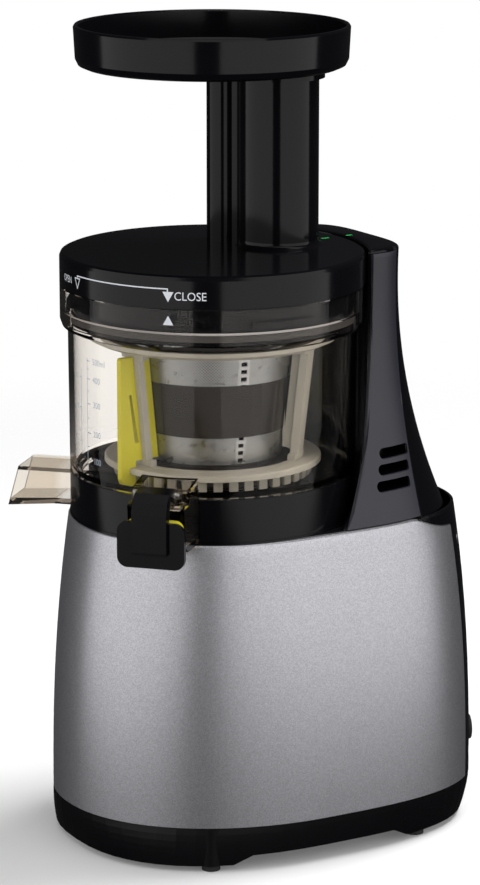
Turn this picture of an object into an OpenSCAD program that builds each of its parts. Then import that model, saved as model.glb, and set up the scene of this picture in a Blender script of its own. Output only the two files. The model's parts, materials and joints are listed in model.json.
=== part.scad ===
// Cold press juicer: motor base with tower, juicing bowl set, lid with feed chute and hopper tray.
// Millimetres, +Z up, front at -Y. The bowl axis is vertical; every bowl part is drawn about it,
// and placed() then moves the whole machine so that its footprint is centred on the origin.

/* [Body] */
// Widest width of the silver body
body_w = 161; // [156:1:172]
// Width of the silver body at its top edge
body_top_w = 144; // [142:1:150]
// Reach of the body in front of the bowl axis, at the bottom
body_front = 80.7; // [79:0.1:84]
// Reach of the body in front of the bowl axis, at the top
body_top_front = 70.5; // [70:0.1:73]
// Reach of the body behind the bowl axis, at the bottom
body_rear = 129.5; // [125:0.5:140]
// Reach of the body behind the bowl axis, at the top
body_top_rear = 121.7; // [119:0.1:124]
// Height of the rubber feet below the base pan
foot_h = 3; // [2:0.5:5]
// Height of the seam between base pan and silver body
pan_top = 22; // [18:1:26]
// Height of the deck that carries the bowl
deck_z = 161; // [155:1:170]
// Wall of the body shell and rear cover
shell_wall = 2.6; // [2:0.1:3.5]
// Half angle of the rear cover's opening in the silver wrap
rear_open = 41; // [36:1:46]

/* [Base pan] */
// How far the base pan draws in between the seam and the floor
pan_draft = 3.5; // [2.5:0.5:6]
// Height of the side arches above the pan's lower edge
arch_h = 4.5; // [3:0.5:5]
// Half width between the front feet
foot_front_x = 62.5; // [54:0.5:63]
// Half width between the rear feet
foot_rear_x = 66.5; // [56:0.5:67]
// Radius of a foot
foot_r = 4.5; // [3.5:0.5:6]

/* [Tower] */
// Height of the tower above the deck
tower_h = 130; // [126:1:132]
// Width of the tower at its top
tower_top_w = 87; // [80:1:92]
// Depth of the tower's top behind its concave front
tower_top_d = 14.1; // [12.6:0.1:18.6]
// Reach of the tower behind the bowl axis, at its foot
tower_foot_rear = 115; // [110:0.5:117]
// Wall of the tower housing
tower_wall = 2.4; // [2:0.1:3]
// Thickness of the satin side panels
panel_t = 1.4; // [1:0.1:2]
// Distance of the side panels' rear edge in front of the tower's rear, at the top
panel_back = 8.5; // [5.5:0.5:11.5]
// Height of one vent slot
vent_h = 5; // [3.5:0.1:5.5]
// Distance between vent slots
vent_pitch = 7.5; // [6.5:0.1:9]

/* [Bowl] */
// Outer radius of the bowl wall
bowl_r = 70; // [69:0.1:71]
// Wall of the bowl
bowl_wall = 2.6; // [2:0.1:3.2]
// Height of the ring that the bowl drops into
ring_h = 22; // [20:0.5:24]
// Thickness of the ring's wall
ring_wall = 2.7; // [2.2:0.1:3]
// Height of the clear wall above the ring, up to the collar
bowl_wall_h = 71; // [68:1:75]
// Overhang of the collar and lid beyond the bowl wall
collar_out = 4.2; // [3.6:0.1:4.6]
// Height of the collar
collar_h = 20.7; // [18:0.1:22]
// Angle of each spout away from straight ahead
spout_angle = 44; // [40:1:48]
// Width of a spout
spout_w = 28; // [25:0.5:30]
// Reach of the pulp spout's lower lip from the bowl axis
pulp_reach = 101.6; // [92:0.2:103]
// Reach of the juice spout's mouth from the bowl axis
mouth_reach = 91.5; // [90:0.5:92.5]

/* [Juice cap] */
// Half width of the cap plate
cap_half_w = 16.5; // [15:0.5:17]
// Reach of the cap plate's outer face from the bowl axis
cap_reach = 99.5; // [98:0.5:101]
// Height of the cap plate
cap_plate_h = 22; // [21:0.5:25]
// Width of the lever strap
strap_w = 17; // [12:0.2:18]
// Radius of the cap's hinge pin
cap_pin_r = 1.5; // [1.2:0.1:1.6]

/* [Strainer and brush] */
// Outer radius of the strainer at its top
strainer_top_r = 41; // [39:0.5:41]
// Outer radius of the strainer at its bottom
strainer_low_r = 34.5; // [33:0.5:36]
// Thickness of the strainer mesh
mesh_t = 0.8; // [0.5:0.1:1]
// Outer radius of the brush frame's top ring
brush_top_r = 61; // [58:0.5:62]
// Outer radius of the brush frame's bottom flange
brush_flange_r = 53; // [52:0.5:55]
// Number of brush arms
brush_arms = 3; // [3:1:3]
// Thickness of a silicone wiper
wiper_t = 3; // [2:0.5:4]

/* [Auger] */
// Radius of the auger's flights at the bottom
auger_low_r = 30.5; // [28:0.5:31]
// Radius of the auger's core at the bottom
auger_core_r = 15; // [13:0.5:17]
// Length of the auger's flights
auger_len = 56; // [50:1:58]

/* [Lid and chute] */
// Height of the lid's side
lid_h = 16; // [14:0.5:18]
// Wall of the lid and chute
lid_wall = 2.4; // [2:0.1:3]
// Radius of the chute's large lobe
chute_r = 20; // [18:0.5:20.5]
// Distance of the large lobe behind the bowl axis
chute_y = 36.5; // [36:0.5:40]
// Radius of the chute's small lobe
small_lobe_r = 8; // [7:0.5:8.5]
// Height of the chute above the lid
chute_h = 90; // [80:1:100]

/* [Hopper tray] */
// Outer radius of the tray
tray_r = 66.4; // [60:0.2:70]
// Height of the tray
tray_h = 20; // [16:0.5:26]
// Wall of the tray
tray_wall = 2.4; // [2:0.1:3]
// Depth of the socket under the tray
socket_h = 7.5; // [5:0.5:10]

/* [Gears in the bowl] */
// Module of the bowl gears
bowl_module = 2.3; // [2.3:0.1:2.3]
// Teeth on the auger gear
auger_teeth = 12; // [12:1:12]
// Teeth on the idler gear
idler_teeth = 14; // [14:1:14]
// Height of the bowl gears
bowl_gear_h = 5.5; // [5:0.5:5.5]

/* [Gears in the base] */
// Module of the motor stage
fast_module = 1.25; // [1.2:0.05:1.3]
// Module of the output stage
slow_module = 1.5; // [1.4:0.05:1.6]
// Teeth on each pinion
pinion_teeth = 12; // [12:1:12]
// Teeth on each large gear
wheel_teeth = 48; // [48:4:48]
// Distance of the motor behind the bowl axis
motor_y = 60; // [56:1:62]

/* [Clearances] */
// Clearance between sliding and turning plastic parts
gap = 0.4; // [0.3:0.05:0.6]
// Radial clearance of a shaft in its bearing
shaft_gap = 0.05; // [0.03:0.01:0.08]
// Clearance between parts that are seated on each other
seat_gap = 0.1; // [0.05:0.05:0.2]

/* [Hidden] */
$fn = 96;
eps = 0.01;
// Segments of a lofted outline
outline_steps = 56;
// Polygon resolution of a small rounded edge
edge_fn = 32;

// ---- heights ----------------------------
pan_low = foot_h;
ring_top = deck_z + ring_h;
collar_low = ring_top + bowl_wall_h;
collar_top = collar_low + collar_h;
lid_low = collar_top + gap;
lid_top = lid_low + lid_h - gap;
tower_top = deck_z + tower_h;
chute_top = lid_top + chute_h;
tray_low = chute_top - 1;
tray_top = tray_low + tray_h;

// ---- body -------------------------------
body_mid_low = 20;
body_mid_top = 8;
front_power = 2.1;
pan_square = 0.3;
rear_power = 3;
shoulder_power = 2.2;
rear_lean_power = 2.4;
dip_start = 76;
dip_length = 15;
dip_depth = 9;
shoulder_angle = 30;
pan_floor_z = foot_h + arch_h + 1;
pan_floor_t = 2.5;
pan_wall = 3;
foot_front_y = -36;
foot_rear_y = 77.5;
boss_r = foot_r + 1.5;
foot_plug_h = 3;
foot_plug_r = foot_r - 1;
screw_r = 1.6;
screw_head_r = 3;
screw_head_h = 2;
screw_post_h = 16;
arch_front_y = -28;
arch_rear_y = 68;
arch_slope = 9;
cover_edge_gap = 0.35;
cover_angle = 31;
cover_screw_low = pan_top + 10;
foot_rib_t = 3;
cover_screw_high = deck_z - 19;

// ---- bowl -------------------------------
collar_r = bowl_r + collar_out;
tower_gap = 1.2;
concave_r = collar_r + tower_gap;
tower_top_rear = concave_r + tower_top_d;
panel_rear = tower_top_rear - panel_back;
bowl_floor_z = deck_z + 1;
floor_t = 3;
cup_r = bowl_r - ring_wall - gap;
step_z = ring_top + gap;
platform_r = 43;
platform_low = deck_z + 17;
platform_top = platform_low + 3;
gear_low = platform_top + 0.6;
gear_top = gear_low + bowl_gear_h;
seat_z = gear_top + 0.9;
wall_inner_r = bowl_r - bowl_wall;
collar_wall = 2.8;
collar_inner_r = collar_r - collar_wall;
hub_hole_r = 11;
spout_wall = 2.4;
pulp_top = deck_z + 19;
pulp_low = bowl_floor_z;
pulp_slant = 5.5;
pulp_dip = 2;
pulp_bend = bowl_r + 8;
pulp_drop_in = 24;
pulp_drop_out = 35;
plug_in = 46;
plug_out = 58;
plug_half_w = 7;
juice_top = ring_top + 10.6;
juice_shelf = ring_top + 2.4;
collar_seat_r = collar_r - 5;
collar_seat_top = collar_low + 9.5;
ridge_count = 3;
rib_h = 3;
rib_z = collar_top - 9;
rib_in = 2.2;
rib_span = 32;
lug_span = 28;
lug_gap = 0.3;
lug_first = spout_angle - 90;

// ---- juice cap --------------------------
cap_pin_reach = mouth_reach - 3;
cap_pin_z = ring_top + 6.6;
cap_barrel_r = cap_pin_r + 1.8;
cap_plate_t = 2.6;
cap_plate_top = deck_z + 17.5;
cap_plate_low = cap_plate_top - cap_plate_h;
cap_corner_r = 5;
cap_ear_t = 2.6;
strap_t = 2.4;
strap_stand = 2.6;

// ---- strainer and brush -----------------
strainer_low = seat_z;
strainer_top = ring_top + 66;
band_low = strainer_low + 17;
band_high = band_low + 26;
frame_skin = 1.2;
strainer_floor_t = 2;
strainer_rim_h = 4;
ring_teeth = auger_teeth + 2 * idler_teeth;
ring_pitch_r = bowl_module * ring_teeth / 2;
auger_pitch_r = bowl_module * auger_teeth / 2;
idler_pitch_r = bowl_module * idler_teeth / 2;
idler_centre = auger_pitch_r + idler_pitch_r;
idler_angle = 90 - spout_angle;
idler_pin_r = 3;
pressure_angle = 25;
addendum = 0.88;
dedendum = 1.15;
backlash = 0.22;
flank_steps = 4;
tooth_block_r = ring_pitch_r + 2.4;
brush_low = gear_top + 0.3;
flange_t = 3;
brush_wall = 4;
brush_top = strainer_top + 2.5;
brush_neck = 5;
arm_half_angle = 5.5;
brush_clear = 6.2;
brush_inner_r = platform_r - 1;
brush_arm_phase = -79;
wiper_arms = [0, 2];
ring_slot_w = 3.2;
wiper_out = wall_inner_r - 9.4;
wiper_low = pulp_top + 1.2;
wiper_top = brush_top - 7;
wiper_step = brush_low + 6;
wiper_slot_low = wiper_low + 21;
wiper_slot_h = 24;
rib_arm = 1;
rib_reach = 5;

// ---- auger ------------------------------
auger_low = strainer_low + strainer_floor_t + 0.8;
auger_top = auger_low + auger_len;
auger_twist = -470;
auger_slices = 44;
auger_steps = 48;
auger_flare = 1.12;
auger_pin_r = 5;
auger_pin_top = lid_top - 9;
hub_r = 8.6;
hub_low = platform_low - 4;
socket_r = 7.4;
socket_top = auger_low + 4;
hex_r = 5.3;

// ---- lid --------------------------------
skirt_r = collar_seat_r - 1;
skirt_wall = 2.6;
skirt_low = collar_low + 3;
gasket_h = 3;
gasket_depth = 1.2;
gasket_z = collar_low + 4.6;
throat_r = 14;
throat_y = 24;
throat_z = brush_top + 1.2;
small_lobe_x = -22.8;
small_lobe_y = 18.6;
lobe_neck_w = 9;
lid_edge_r = 2.2;
bush_h = 8;
bush_r = 9;
magnet_r = 3;
magnet_h = 2;
magnet_y = collar_r - 6.5;

// ---- motor and gearbox ------------------
wheel_r_slow = slow_module * wheel_teeth / 2;
pinion_r_slow = slow_module * pinion_teeth / 2;
wheel_r_fast = fast_module * wheel_teeth / 2;
pinion_r_fast = fast_module * pinion_teeth / 2;
slow_centre = wheel_r_slow + pinion_r_slow;
fast_centre = wheel_r_fast + pinion_r_fast;
axle_y = (slow_centre * slow_centre - fast_centre * fast_centre + motor_y * motor_y) / (2 * motor_y);
axle_x = sqrt(slow_centre * slow_centre - axle_y * axle_y);
box_floor_z = deck_z - 61;
box_floor_t = 4;
box_wall = 3;
fast_z = box_floor_z + box_floor_t + 4;
fast_h = 7;
slow_z = fast_z + fast_h + 2;
slow_h = 11;
box_top_z = slow_z + slow_h + 3;
box_cover_t = 4;
drive_r = 6;
axle_r = 4;
motor_shaft_r = 4;
bush_wall = 3;
bush_t = 6;
stator_w = 84;
stator_stand = 36;
stator_low = pan_floor_z + stator_stand;
coil_over = 7;
bracket_drop = 4.5;
rotor_r = 22;
air_gap = 0.6;
slot_count = 4;
winding_r = 34;
winding_t = 6;
winding_w = 19;
bracket_t = 4;
upper_bracket_z = box_floor_z - bracket_drop - bracket_t;
stator_h = upper_bracket_z - coil_over - stator_low;
motor_nose_r = 18;
fan_r = 32;
fan_h = 8;
fan_blades = 7;
damper_h = 6;
damper_r = 6;
motor_post = 36;
deck_t = 2.5;
deck_hub_r = 20;
deck_hub_h = 11;
deck_post_r = 4;

// ---- switch, gland and board ------------
switch_z = deck_z - 43;
switch_w = 19;
switch_h = 25;
switch_depth = 12;
bezel_wall = 3;
rocker_r = 3;
rocker_pin_r = 1.5;
gland_angle = 70;
gland_z = pan_top + 18;
gland_r = 5;
board_y = -38;
board_w = 76;
board_h = 52;
louvre_count = 6;
louvre_pitch = 7;
louvre_w = 56;
louvre_h = 2.6;
louvre_drop = 60;
louvre_z = switch_z - louvre_drop;

// ---- placing ----------------------------
cap_front = cap_reach * cos(spout_angle) + cap_half_w * sin(spout_angle);
front_reach = max(body_front, cap_front);
axis_y = (front_reach - body_rear) / 2;

// ========================================
// Shared shapes
// ========================================

module placed() {
  translate([0, axis_y, 0]) children();
}

// Turns its children so that their +Y runs outward at an angle from straight ahead
module facing(angle) {
  rotate([0, 0, 180 + angle]) children();
}

function signed_pow(v, p) = (v < 0 ? -1 : 1) * pow(abs(v), p);

// A point of an oval outline: half width, Y of the widest place, front and rear reach
function oval_pt(t, half, mid, front, rear, front_p, rear_p) =
  let (s = sin(t), p = s < 0 ? front_p : rear_p, b = s < 0 ? mid - front : rear - mid)
  [half * signed_pow(cos(t), 2 / p), mid + b * signed_pow(s, 2 / p)];

function rise(z) = max(0, (z - pan_top) / (deck_z - pan_top));
function sink(z) = max(0, (pan_top - z) / (pan_top - pan_low));
function rear_at(z) = body_rear - (body_rear - body_top_rear) * pow(rise(z), rear_lean_power);
function front_at(z) = body_front - (body_front - body_top_front) * pow(rise(z), shoulder_power);
function half_at(z) = body_w / 2 + (body_top_w - body_w) / 2 * pow(rise(z), shoulder_power);
function mid_at(z) = body_mid_low + (body_mid_top - body_mid_low) * rise(z) * rise(z);

// A point of the body's outline at height z, drawn in by inset
function body_pt(t, z, inset) =
  oval_pt(
    t, half_at(z) - inset, mid_at(z), inset - front_at(z), rear_at(z) - inset,
    front_power + pan_square * sink(z), rear_power
  );

// Half width of the silver body at height z and distance y behind the bowl axis
function wall_x(y, z) =
  let (
    ahead = y < mid_at(z),
    b = ahead ? mid_at(z) + front_at(z) : rear_at(z) - mid_at(z),
    p = ahead ? front_power : rear_power
  )
  half_at(z) * pow(1 - pow(abs(y - mid_at(z)) / b, p), 1 / p);

// Height of the silver body's top edge, which drops towards the rear
function silver_top(t) =
  let (y = body_pt(t, deck_z, 0)[1], d = max(0, y - dip_start) / dip_length)
  deck_z - dip_depth * (1 - exp(-pow(d, 1.5)));

function lift(pts, z) = [for (p = pts) [p[0], p[1], z]];

// Full outline at height z
function body_ring(z, inset) =
  lift([for (i = [0 : outline_steps - 1]) body_pt(360 * i / outline_steps, z, inset)], z);

// Point of the body's wall at height fraction f between low and the given edge height
function wall_pt(t, low, high, f, inset) =
  let (z = low + (high - low) * f, p = body_pt(t, z, inset))
  [p[0], p[1], z];

function spread(t0, t1, steps) = [for (i = [0 : steps]) t0 + (t1 - t0) * i / steps];
function backwards(v) = [for (i = [len(v) - 1 : -1 : 0]) v[i]];

// Skins a list of closed outlines that all have the same number of points
function side_faces(n, m) = [
  for (j = [0 : m - 2])
  for (i = [0 : n - 1])
  let (a = j * n + i, b = j * n + (i + 1) % n, c = b + n, d = a + n)
  for (f = [[a, d, c], [a, c, b]]) f
];

module loft(rings) {
  n = len(rings[0]);
  m = len(rings);
  points = [for (r = rings) for (p = r) p];
  first = [for (i = [0 : n - 1]) i];
  last = [for (i = [n - 1 : -1 : 0]) (m - 1) * n + i];
  polyhedron(points = points, faces = concat([first], side_faces(n, m), [last]), convexity = 10);
}

// Skins a bent sheet: each ring is its outer points, then its inner points backwards
module sheet(rings) {
  n = len(rings[0]);
  m = len(rings);
  points = [for (r = rings) for (p = r) p];
  ends = [
    for (i = [0 : n / 2 - 2])
    let (a = i, b = i + 1, c = n - 2 - i, d = n - 1 - i, k = (m - 1) * n)
    for (f = [[a, b, c], [a, c, d], [k + a, k + c, k + b], [k + a, k + d, k + c]]) f
  ];
  polyhedron(points = points, faces = concat(side_faces(n, m), ends), convexity = 10);
}

// Sheet of body wall between angles t0 and t1; lows and highs are its edge heights
module body_sheet(t0, t1, steps, levels, wall, lows, highs) {
  angles = spread(t0, t1, steps);
  sheet([
    for (j = [0 : levels])
    concat(
      [for (i = [0 : steps]) wall_pt(angles[i], lows[i], highs[i], j / levels, 0)],
      backwards([for (i = [0 : steps]) wall_pt(angles[i], lows[i], highs[i], j / levels, wall)])
    )
  ]);
}

// Puts its children on the body's surface at angle t; their -Y points outward
module on_body(t, z) {
  p = body_pt(t, z, 0);
  q = body_pt(t + 0.5, z, 0);
  translate([p[0], p[1], z])
    rotate([0, 0, atan2(q[1] - p[1], q[0] - p[0])]) children();
}

// Ring made of straight-walled cylinders
module tube(r_out, r_in, h) {
  difference() {
    cylinder(r = r_out, h = h);
    translate([0, 0, -1]) cylinder(r = r_in, h = h + 2);
  }
}

// Box centred in X and Y, standing on z = 0
module block(x, y, z) {
  translate([-x / 2, -y / 2, 0]) cube([x, y, z]);
}

// Flat sector from angle a0 to a1, large enough to cut parts of radius r
module sector(r, a0, a1, h) {
  steps = ceil((a1 - a0) / 20);
  linear_extrude(height = h)
    polygon(concat(
      [[0, 0]],
      [for (i = [0 : steps])
        let (a = a0 + (a1 - a0) * i / steps)
        [2 * r * cos(a), 2 * r * sin(a)]]
    ));
}

// Part of a ring between two angles
module ring_arc(r_out, r_in, h, a0, a1) {
  intersection() {
    tube(r_out, r_in, h);
    translate([0, 0, -1]) sector(r_out, a0, a1, h + 2);
  }
}

function involute(a) = tan(a) * 180 / PI - a;

// Half the angle that one tooth takes at radius r
function tooth_half(r, teeth, m, play) =
  let (pitch = m * teeth / 2, base = pitch * cos(pressure_angle))
  90 / teeth + involute(pressure_angle) - involute(acos(min(1, base / r)))
  - play / (2 * pitch) * 180 / PI;

// Outline of a gear with one tooth centred on +X
function gear_points(teeth, m, play, add, ded) =
  let (
    pitch = m * teeth / 2,
    base = pitch * cos(pressure_angle),
    tip = pitch + m * add,
    root = pitch - m * ded,
    start = max(base, root)
  )
  [
    for (i = [0 : teeth - 1])
    let (c = 360 * i / teeth)
    for (k = [0 : 2 * flank_steps + 1])
    let (
      up = k <= flank_steps,
      q = up ? k : 2 * flank_steps + 1 - k,
      r = start + (tip - start) * q / flank_steps,
      half = tooth_half(r, teeth, m, play),
      a = c + (up ? -half : half),
      foot = q == 0 && root < start
    )
    for (p = foot && up ? [root, r] : foot ? [r, root] : [r]) [p * cos(a), p * sin(a)]
  ];

module gear(teeth, m, h) {
  linear_extrude(height = h) polygon(gear_points(teeth, m, backlash, addendum, dedendum));
}

module screw(r, length, head_r, head_h) {
  cylinder(r = r, h = length);
  difference() {
    translate([0, 0, -head_h]) cylinder(r = head_r, h = head_h);
    translate([0, 0, -head_h - eps])
      for (turn = [0, 90])
        rotate([0, 0, turn]) block(head_r * 1.2, head_r * 0.3, head_h / 2);
  }
}

// ========================================
// Motor base casings
// ========================================

shell_levels = 11;

module foot_places() {
  for (side = [-1, 1]) {
    translate([side * foot_front_x, foot_front_y, 0]) children();
    translate([side * foot_rear_x, foot_rear_y, 0]) children();
  }
}

// Pair of ribs from the screw posts out to the middle of the body wall
module foot_rib(x, y) {
  reach = wall_x(y, pan_top + screw_post_h) - shell_wall / 2 - x;
  for (side = [-1, 1])
    translate([side * (x + reach / 2), y, pan_top + seat_gap])
      block(abs(reach), foot_rib_t, screw_post_h);
}

module body_shell() {
  t0 = rear_open - 270;
  t1 = 90 - rear_open;
  angles = spread(t0, t1, outline_steps);
  color("silver")
    difference() {
      union() {
        body_sheet(
          t0, t1, outline_steps, shell_levels, shell_wall,
          [for (t = angles) pan_top], [for (t = angles) silver_top(t)]
        );
        foot_places()
          translate([0, 0, pan_top + seat_gap]) cylinder(r = screw_r + 2.6, h = screw_post_h);
        foot_rib(foot_front_x, foot_front_y);
        foot_rib(foot_rear_x, foot_rear_y);
      }
      foot_places() translate([0, 0, pan_top - 1]) cylinder(r = screw_r, h = screw_post_h - 2);
    }
}

function pan_inset(z) = pan_draft * pow(sink(z), 1.5);

module pan_tub() {
  outer_z = spread(pan_low, pan_top, 6);
  floor_low = pan_floor_z;
  floor_high = pan_floor_z + pan_floor_t;
  loft(concat(
    [body_ring(floor_low, pan_draft + pan_wall)],
    [body_ring(pan_low, pan_draft + pan_wall)],
    [for (z = outer_z) body_ring(z, pan_inset(z))],
    [body_ring(pan_top, pan_wall)],
    [body_ring(floor_high, pan_inset(floor_high) + pan_wall)]
  ));
}

module damper_places() {
  for (x = [-1, 1])
    for (y = [-1, 1])
      translate([x * motor_post, motor_y + y * motor_post, 0]) children();
}

// Upright that a cover screw enters, just inside the rear cover
module cover_posts(low, high) {
  for (side = [-1, 1])
    on_body(90 + side * cover_angle, low)
      translate([0, shell_wall + 6.5, 0]) block(9, 8, high - low);
}

module screw_holes() {
  foot_places() {
    translate([0, 0, pan_low - 1]) cylinder(r = foot_plug_r, h = foot_plug_h + 1 + seat_gap);
    translate([0, 0, pan_low]) cylinder(r = screw_head_r + gap, h = foot_plug_h + screw_head_h + gap);
    translate([0, 0, pan_low]) cylinder(r = screw_r + seat_gap, h = pan_top - pan_low + 1);
  }
}

module base_pan() {
  color("#141416")
    difference() {
      union() {
        pan_tub();
        foot_places() translate([0, 0, pan_low]) cylinder(r = boss_r, h = pan_top - pan_low);
        damper_places() translate([0, 0, pan_floor_z + 1]) cylinder(r = damper_r + 1, h = 9);
        cover_posts(pan_floor_z + 1, cover_screw_low + 6);
      }
      screw_holes();
      translate([0, 0, pan_low])
        rotate([90, 0, 90])
          linear_extrude(height = body_w + 20, center = true)
            polygon([
              [arch_front_y, -1], [arch_rear_y, -1], [arch_rear_y, 0],
              [arch_rear_y - arch_slope, arch_h], [arch_front_y + arch_slope, arch_h],
              [arch_front_y, 0]
            ]);
      for (row = [0 : 4])
        translate([0, motor_y - 24 + 12 * row, pan_floor_z - 1]) block(46, 4, pan_floor_t + 2);
      cover_screw_shanks();
    }
}

module rubber_feet() {
  color("#202022")
    foot_places() {
      cylinder(r = foot_r, h = foot_h);
      cylinder(r = foot_plug_r - seat_gap, h = foot_h + foot_plug_h);
    }
}

module cover_screw_shanks() {
  for (side = [-1, 1])
    for (z = [cover_screw_low, cover_screw_high])
      on_body(90 + side * cover_angle, z)
        translate([0, 0.5, 0]) rotate([-90, 0, 0]) cylinder(r = screw_r, h = 12);
}

module rear_cover() {
  t0 = 90 - rear_open + cover_edge_gap;
  t1 = 90 + rear_open - cover_edge_gap;
  steps = 18;
  levels = 9;
  angles = spread(t0, t1, steps);
  color("#17171a")
    difference() {
      body_sheet(
        t0, t1, steps, levels, shell_wall,
        [for (t = angles) pan_top], [for (t = angles) silver_top(t) - seat_gap]
      );
      for (row = [0 : louvre_count - 1])
        translate([0, body_rear, louvre_z + row * louvre_pitch]) block(louvre_w, 30, louvre_h);
      translate([0, rear_at(switch_z), switch_z - switch_h / 2 - seat_gap])
        block(switch_w + 2 * seat_gap, 30, switch_h + 2 * seat_gap);
      on_body(gland_angle, gland_z)
        translate([0, 10, 0]) rotate([90, 0, 0]) cylinder(r = gland_r, h = 20);
      for (side = [-1, 1])
        for (z = [cover_screw_low, cover_screw_high])
          on_body(90 + side * cover_angle, z)
            translate([0, 1.4, 0]) rotate([90, 0, 0]) cylinder(r = screw_head_r + seat_gap, h = 10);
      cover_screw_shanks();
    }
}

// ---- tower ------------------------------

tower_rear_steps = 18;
tower_arc_steps = 14;
tower_levels = 10;
panel_steps = 7;

function fall(z) = (tower_top - z) / tower_h;
function tower_half(z) = tower_top_w / 2 + (body_top_w - 3 - tower_top_w) / 2 * pow(fall(z), 2.2);
function tower_mid(z) = 50 - 30 * fall(z);
function tower_rear(z) = tower_top_rear + (tower_foot_rear - tower_top_rear) * pow(fall(z), 2.2);
function tower_power(z) = 4 - fall(z);

function tower_angle(y, z, inset) =
  let (b = tower_rear(z) - inset - tower_mid(z))
  asin(pow(max(0.001, (y - tower_mid(z)) / b), tower_power(z) / 2));

// First angle of the tower's outline, where its side meets the concave front
function tower_first(z, inset) =
  let (half = tower_half(z) - inset, r = concave_r + inset)
  tower_angle(sqrt(max(0, r * r - half * half)), z, inset);

function tower_pt(t, z, inset) =
  oval_pt(t, tower_half(z) - inset, tower_mid(z), 0, tower_rear(z) - inset, front_power, tower_power(z));

// Angles round the tower: along one panel, round the rear, along the other panel
function tower_angles(first, last) =
  concat(
    spread(first, last, panel_steps),
    spread(last + 0.4, 180 - last - 0.4, tower_rear_steps),
    spread(180 - last, 180 - first, panel_steps)
  );

// Closed outline of the tower: round the back, then along the concave front
function tower_ring(z, inset, side_inset) =
  let (
    first = tower_first(z, inset + side_inset),
    angles = tower_angles(first, tower_angle(panel_rear, z, inset)),
    half = tower_half(z) - inset - side_inset,
    r = concave_r + inset,
    corner = acos(min(1, half / r)),
    n = len(angles)
  )
  lift(
    concat(
      [for (i = [0 : n - 1])
        let (on_panel = i <= panel_steps || i >= n - 1 - panel_steps)
        tower_pt(angles[i], z, inset + (on_panel ? side_inset : 0))],
      [for (j = [1 : tower_arc_steps - 1])
        let (a = 180 - corner - (180 - 2 * corner) * j / tower_arc_steps)
        [r * cos(a), r * sin(a)]]
    ),
    z
  );

module vent_slots(side) {
  vent_y = panel_rear - 1.5;
  vent_z = deck_z + 32;
  vent_len = 19;
  vent_cut = 60;
  for (row = [0 : 2])
    translate([side * vent_cut, vent_y, vent_z - row * vent_pitch])
      rotate([0, side * 90, 0])
        linear_extrude(height = vent_cut, center = true)
          translate([0, -(vent_len + 1.6 * row) / 2])
            union() {
              square([vent_h, vent_len + 1.6 * row - vent_h], center = true);
              for (end = [-1, 1])
                translate([0, end * (vent_len + 1.6 * row - vent_h) / 2])
                  circle(d = vent_h, $fn = edge_fn);
            }
}

module tower_housing() {
  cavity_top = tower_top - tower_wall;
  inner = [for (j = [tower_levels : -1 : 0]) deck_z + (cavity_top - deck_z) * j / tower_levels];
  outer = [for (j = [0 : tower_levels]) deck_z + (tower_top - 1.6 - deck_z) * j / tower_levels];
  color("#121214")
    difference() {
      loft(concat(
        [for (z = inner) tower_ring(z, tower_wall, panel_t)],
        [for (z = outer) tower_ring(z, 0, panel_t)],
        [tower_ring(tower_top - 0.5, 0.5, panel_t)],
        [tower_ring(tower_top, 1.6, panel_t)]
      ));
      vent_slots(1);
      vent_slots(-1);
    }
}

module tower_side(side) {
  panel_top = tower_top - 1.8;
  panel_low = deck_z + 0.6;
  levels = 12;
  color("#3a3a42")
    mirror([side < 0 ? 1 : 0, 0, 0])
      difference() {
        sheet([
          for (j = [0 : levels])
          let (
            z = panel_low + (panel_top - panel_low) * j / levels,
            first = tower_first(z, panel_t) + 0.5,
            last = tower_angle(panel_rear, z, 0) - 0.2,
            angles = spread(first, last, panel_steps)
          )
          lift(
            concat(
              [for (t = angles) tower_pt(t, z, 0)],
              backwards([for (t = angles) tower_pt(t, z, panel_t - seat_gap)])
            ),
            z
          )
        ]);
        vent_slots(1);
      }
}

module tower_side_left() {
  tower_side(-1);
}

module tower_side_right() {
  tower_side(1);
}

// ---- deck and ring ----------------------

// Black wall above the silver body's dropped rear edge
module rear_shoulder() {
  steps = 30;
  angles = spread(shoulder_angle, 180 - shoulder_angle, steps);
  body_sheet(
    shoulder_angle, 180 - shoulder_angle, steps, 3, shell_wall + gap + 0.3,
    [for (t = angles) silver_top(t) + seat_gap], [for (t = angles) deck_z]
  );
}

module deck_plate() {
  post_top = deck_z - deck_t;
  color("#1b1b1e")
    difference() {
      union() {
        linear_extrude(height = deck_t)
          polygon([for (i = [0 : outline_steps - 1])
            body_pt(360 * i / outline_steps, deck_z - deck_t, shell_wall + gap)]);
        translate([0, 0, deck_t - deck_z]) rear_shoulder();
        translate([0, 0, deck_t - deck_z]) cover_posts(cover_screw_high - 7, deck_z - 1);
        cylinder(r = deck_hub_r, h = deck_t + deck_hub_h);
        for (a = [20, 160, 200, 340])
          rotate([0, 0, a])
            translate([slow_centre * 0.7, 0, box_top_z + box_cover_t + seat_gap - post_top])
              cylinder(r = deck_post_r, h = post_top - box_top_z - box_cover_t + 1);
      }
      translate([0, 0, -1]) cylinder(r = drive_r + 1, h = deck_t + deck_hub_h + 2);
      translate([0, 0, -1]) cylinder(r = drive_r + bush_wall, h = bush_t + 1);
      translate([0, 0, deck_t + deck_hub_h - 4]) cylinder(r = drive_r + bush_wall, h = 5);
      translate([0, 0, deck_t - deck_z]) cover_screw_shanks();
    }
}

module spout_notch(angle, width) {
  facing(angle)
    translate([0, bowl_r, deck_z + 0.6]) block(width + 2 * gap, 30, ring_h + 2);
}

module bowl_ring() {
  color("#141416")
    difference() {
      union() {
        translate([0, 0, deck_z]) tube(bowl_r, bowl_r - ring_wall, ring_h);
        translate([0, 0, deck_z]) tube(bowl_r + 0.4, bowl_r - ring_wall, 1);
      }
      spout_notch(spout_angle, spout_w);
      spout_notch(-spout_angle, spout_w - 2);
    }
}

// ========================================
// Motor and gearbox
// ========================================

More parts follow.
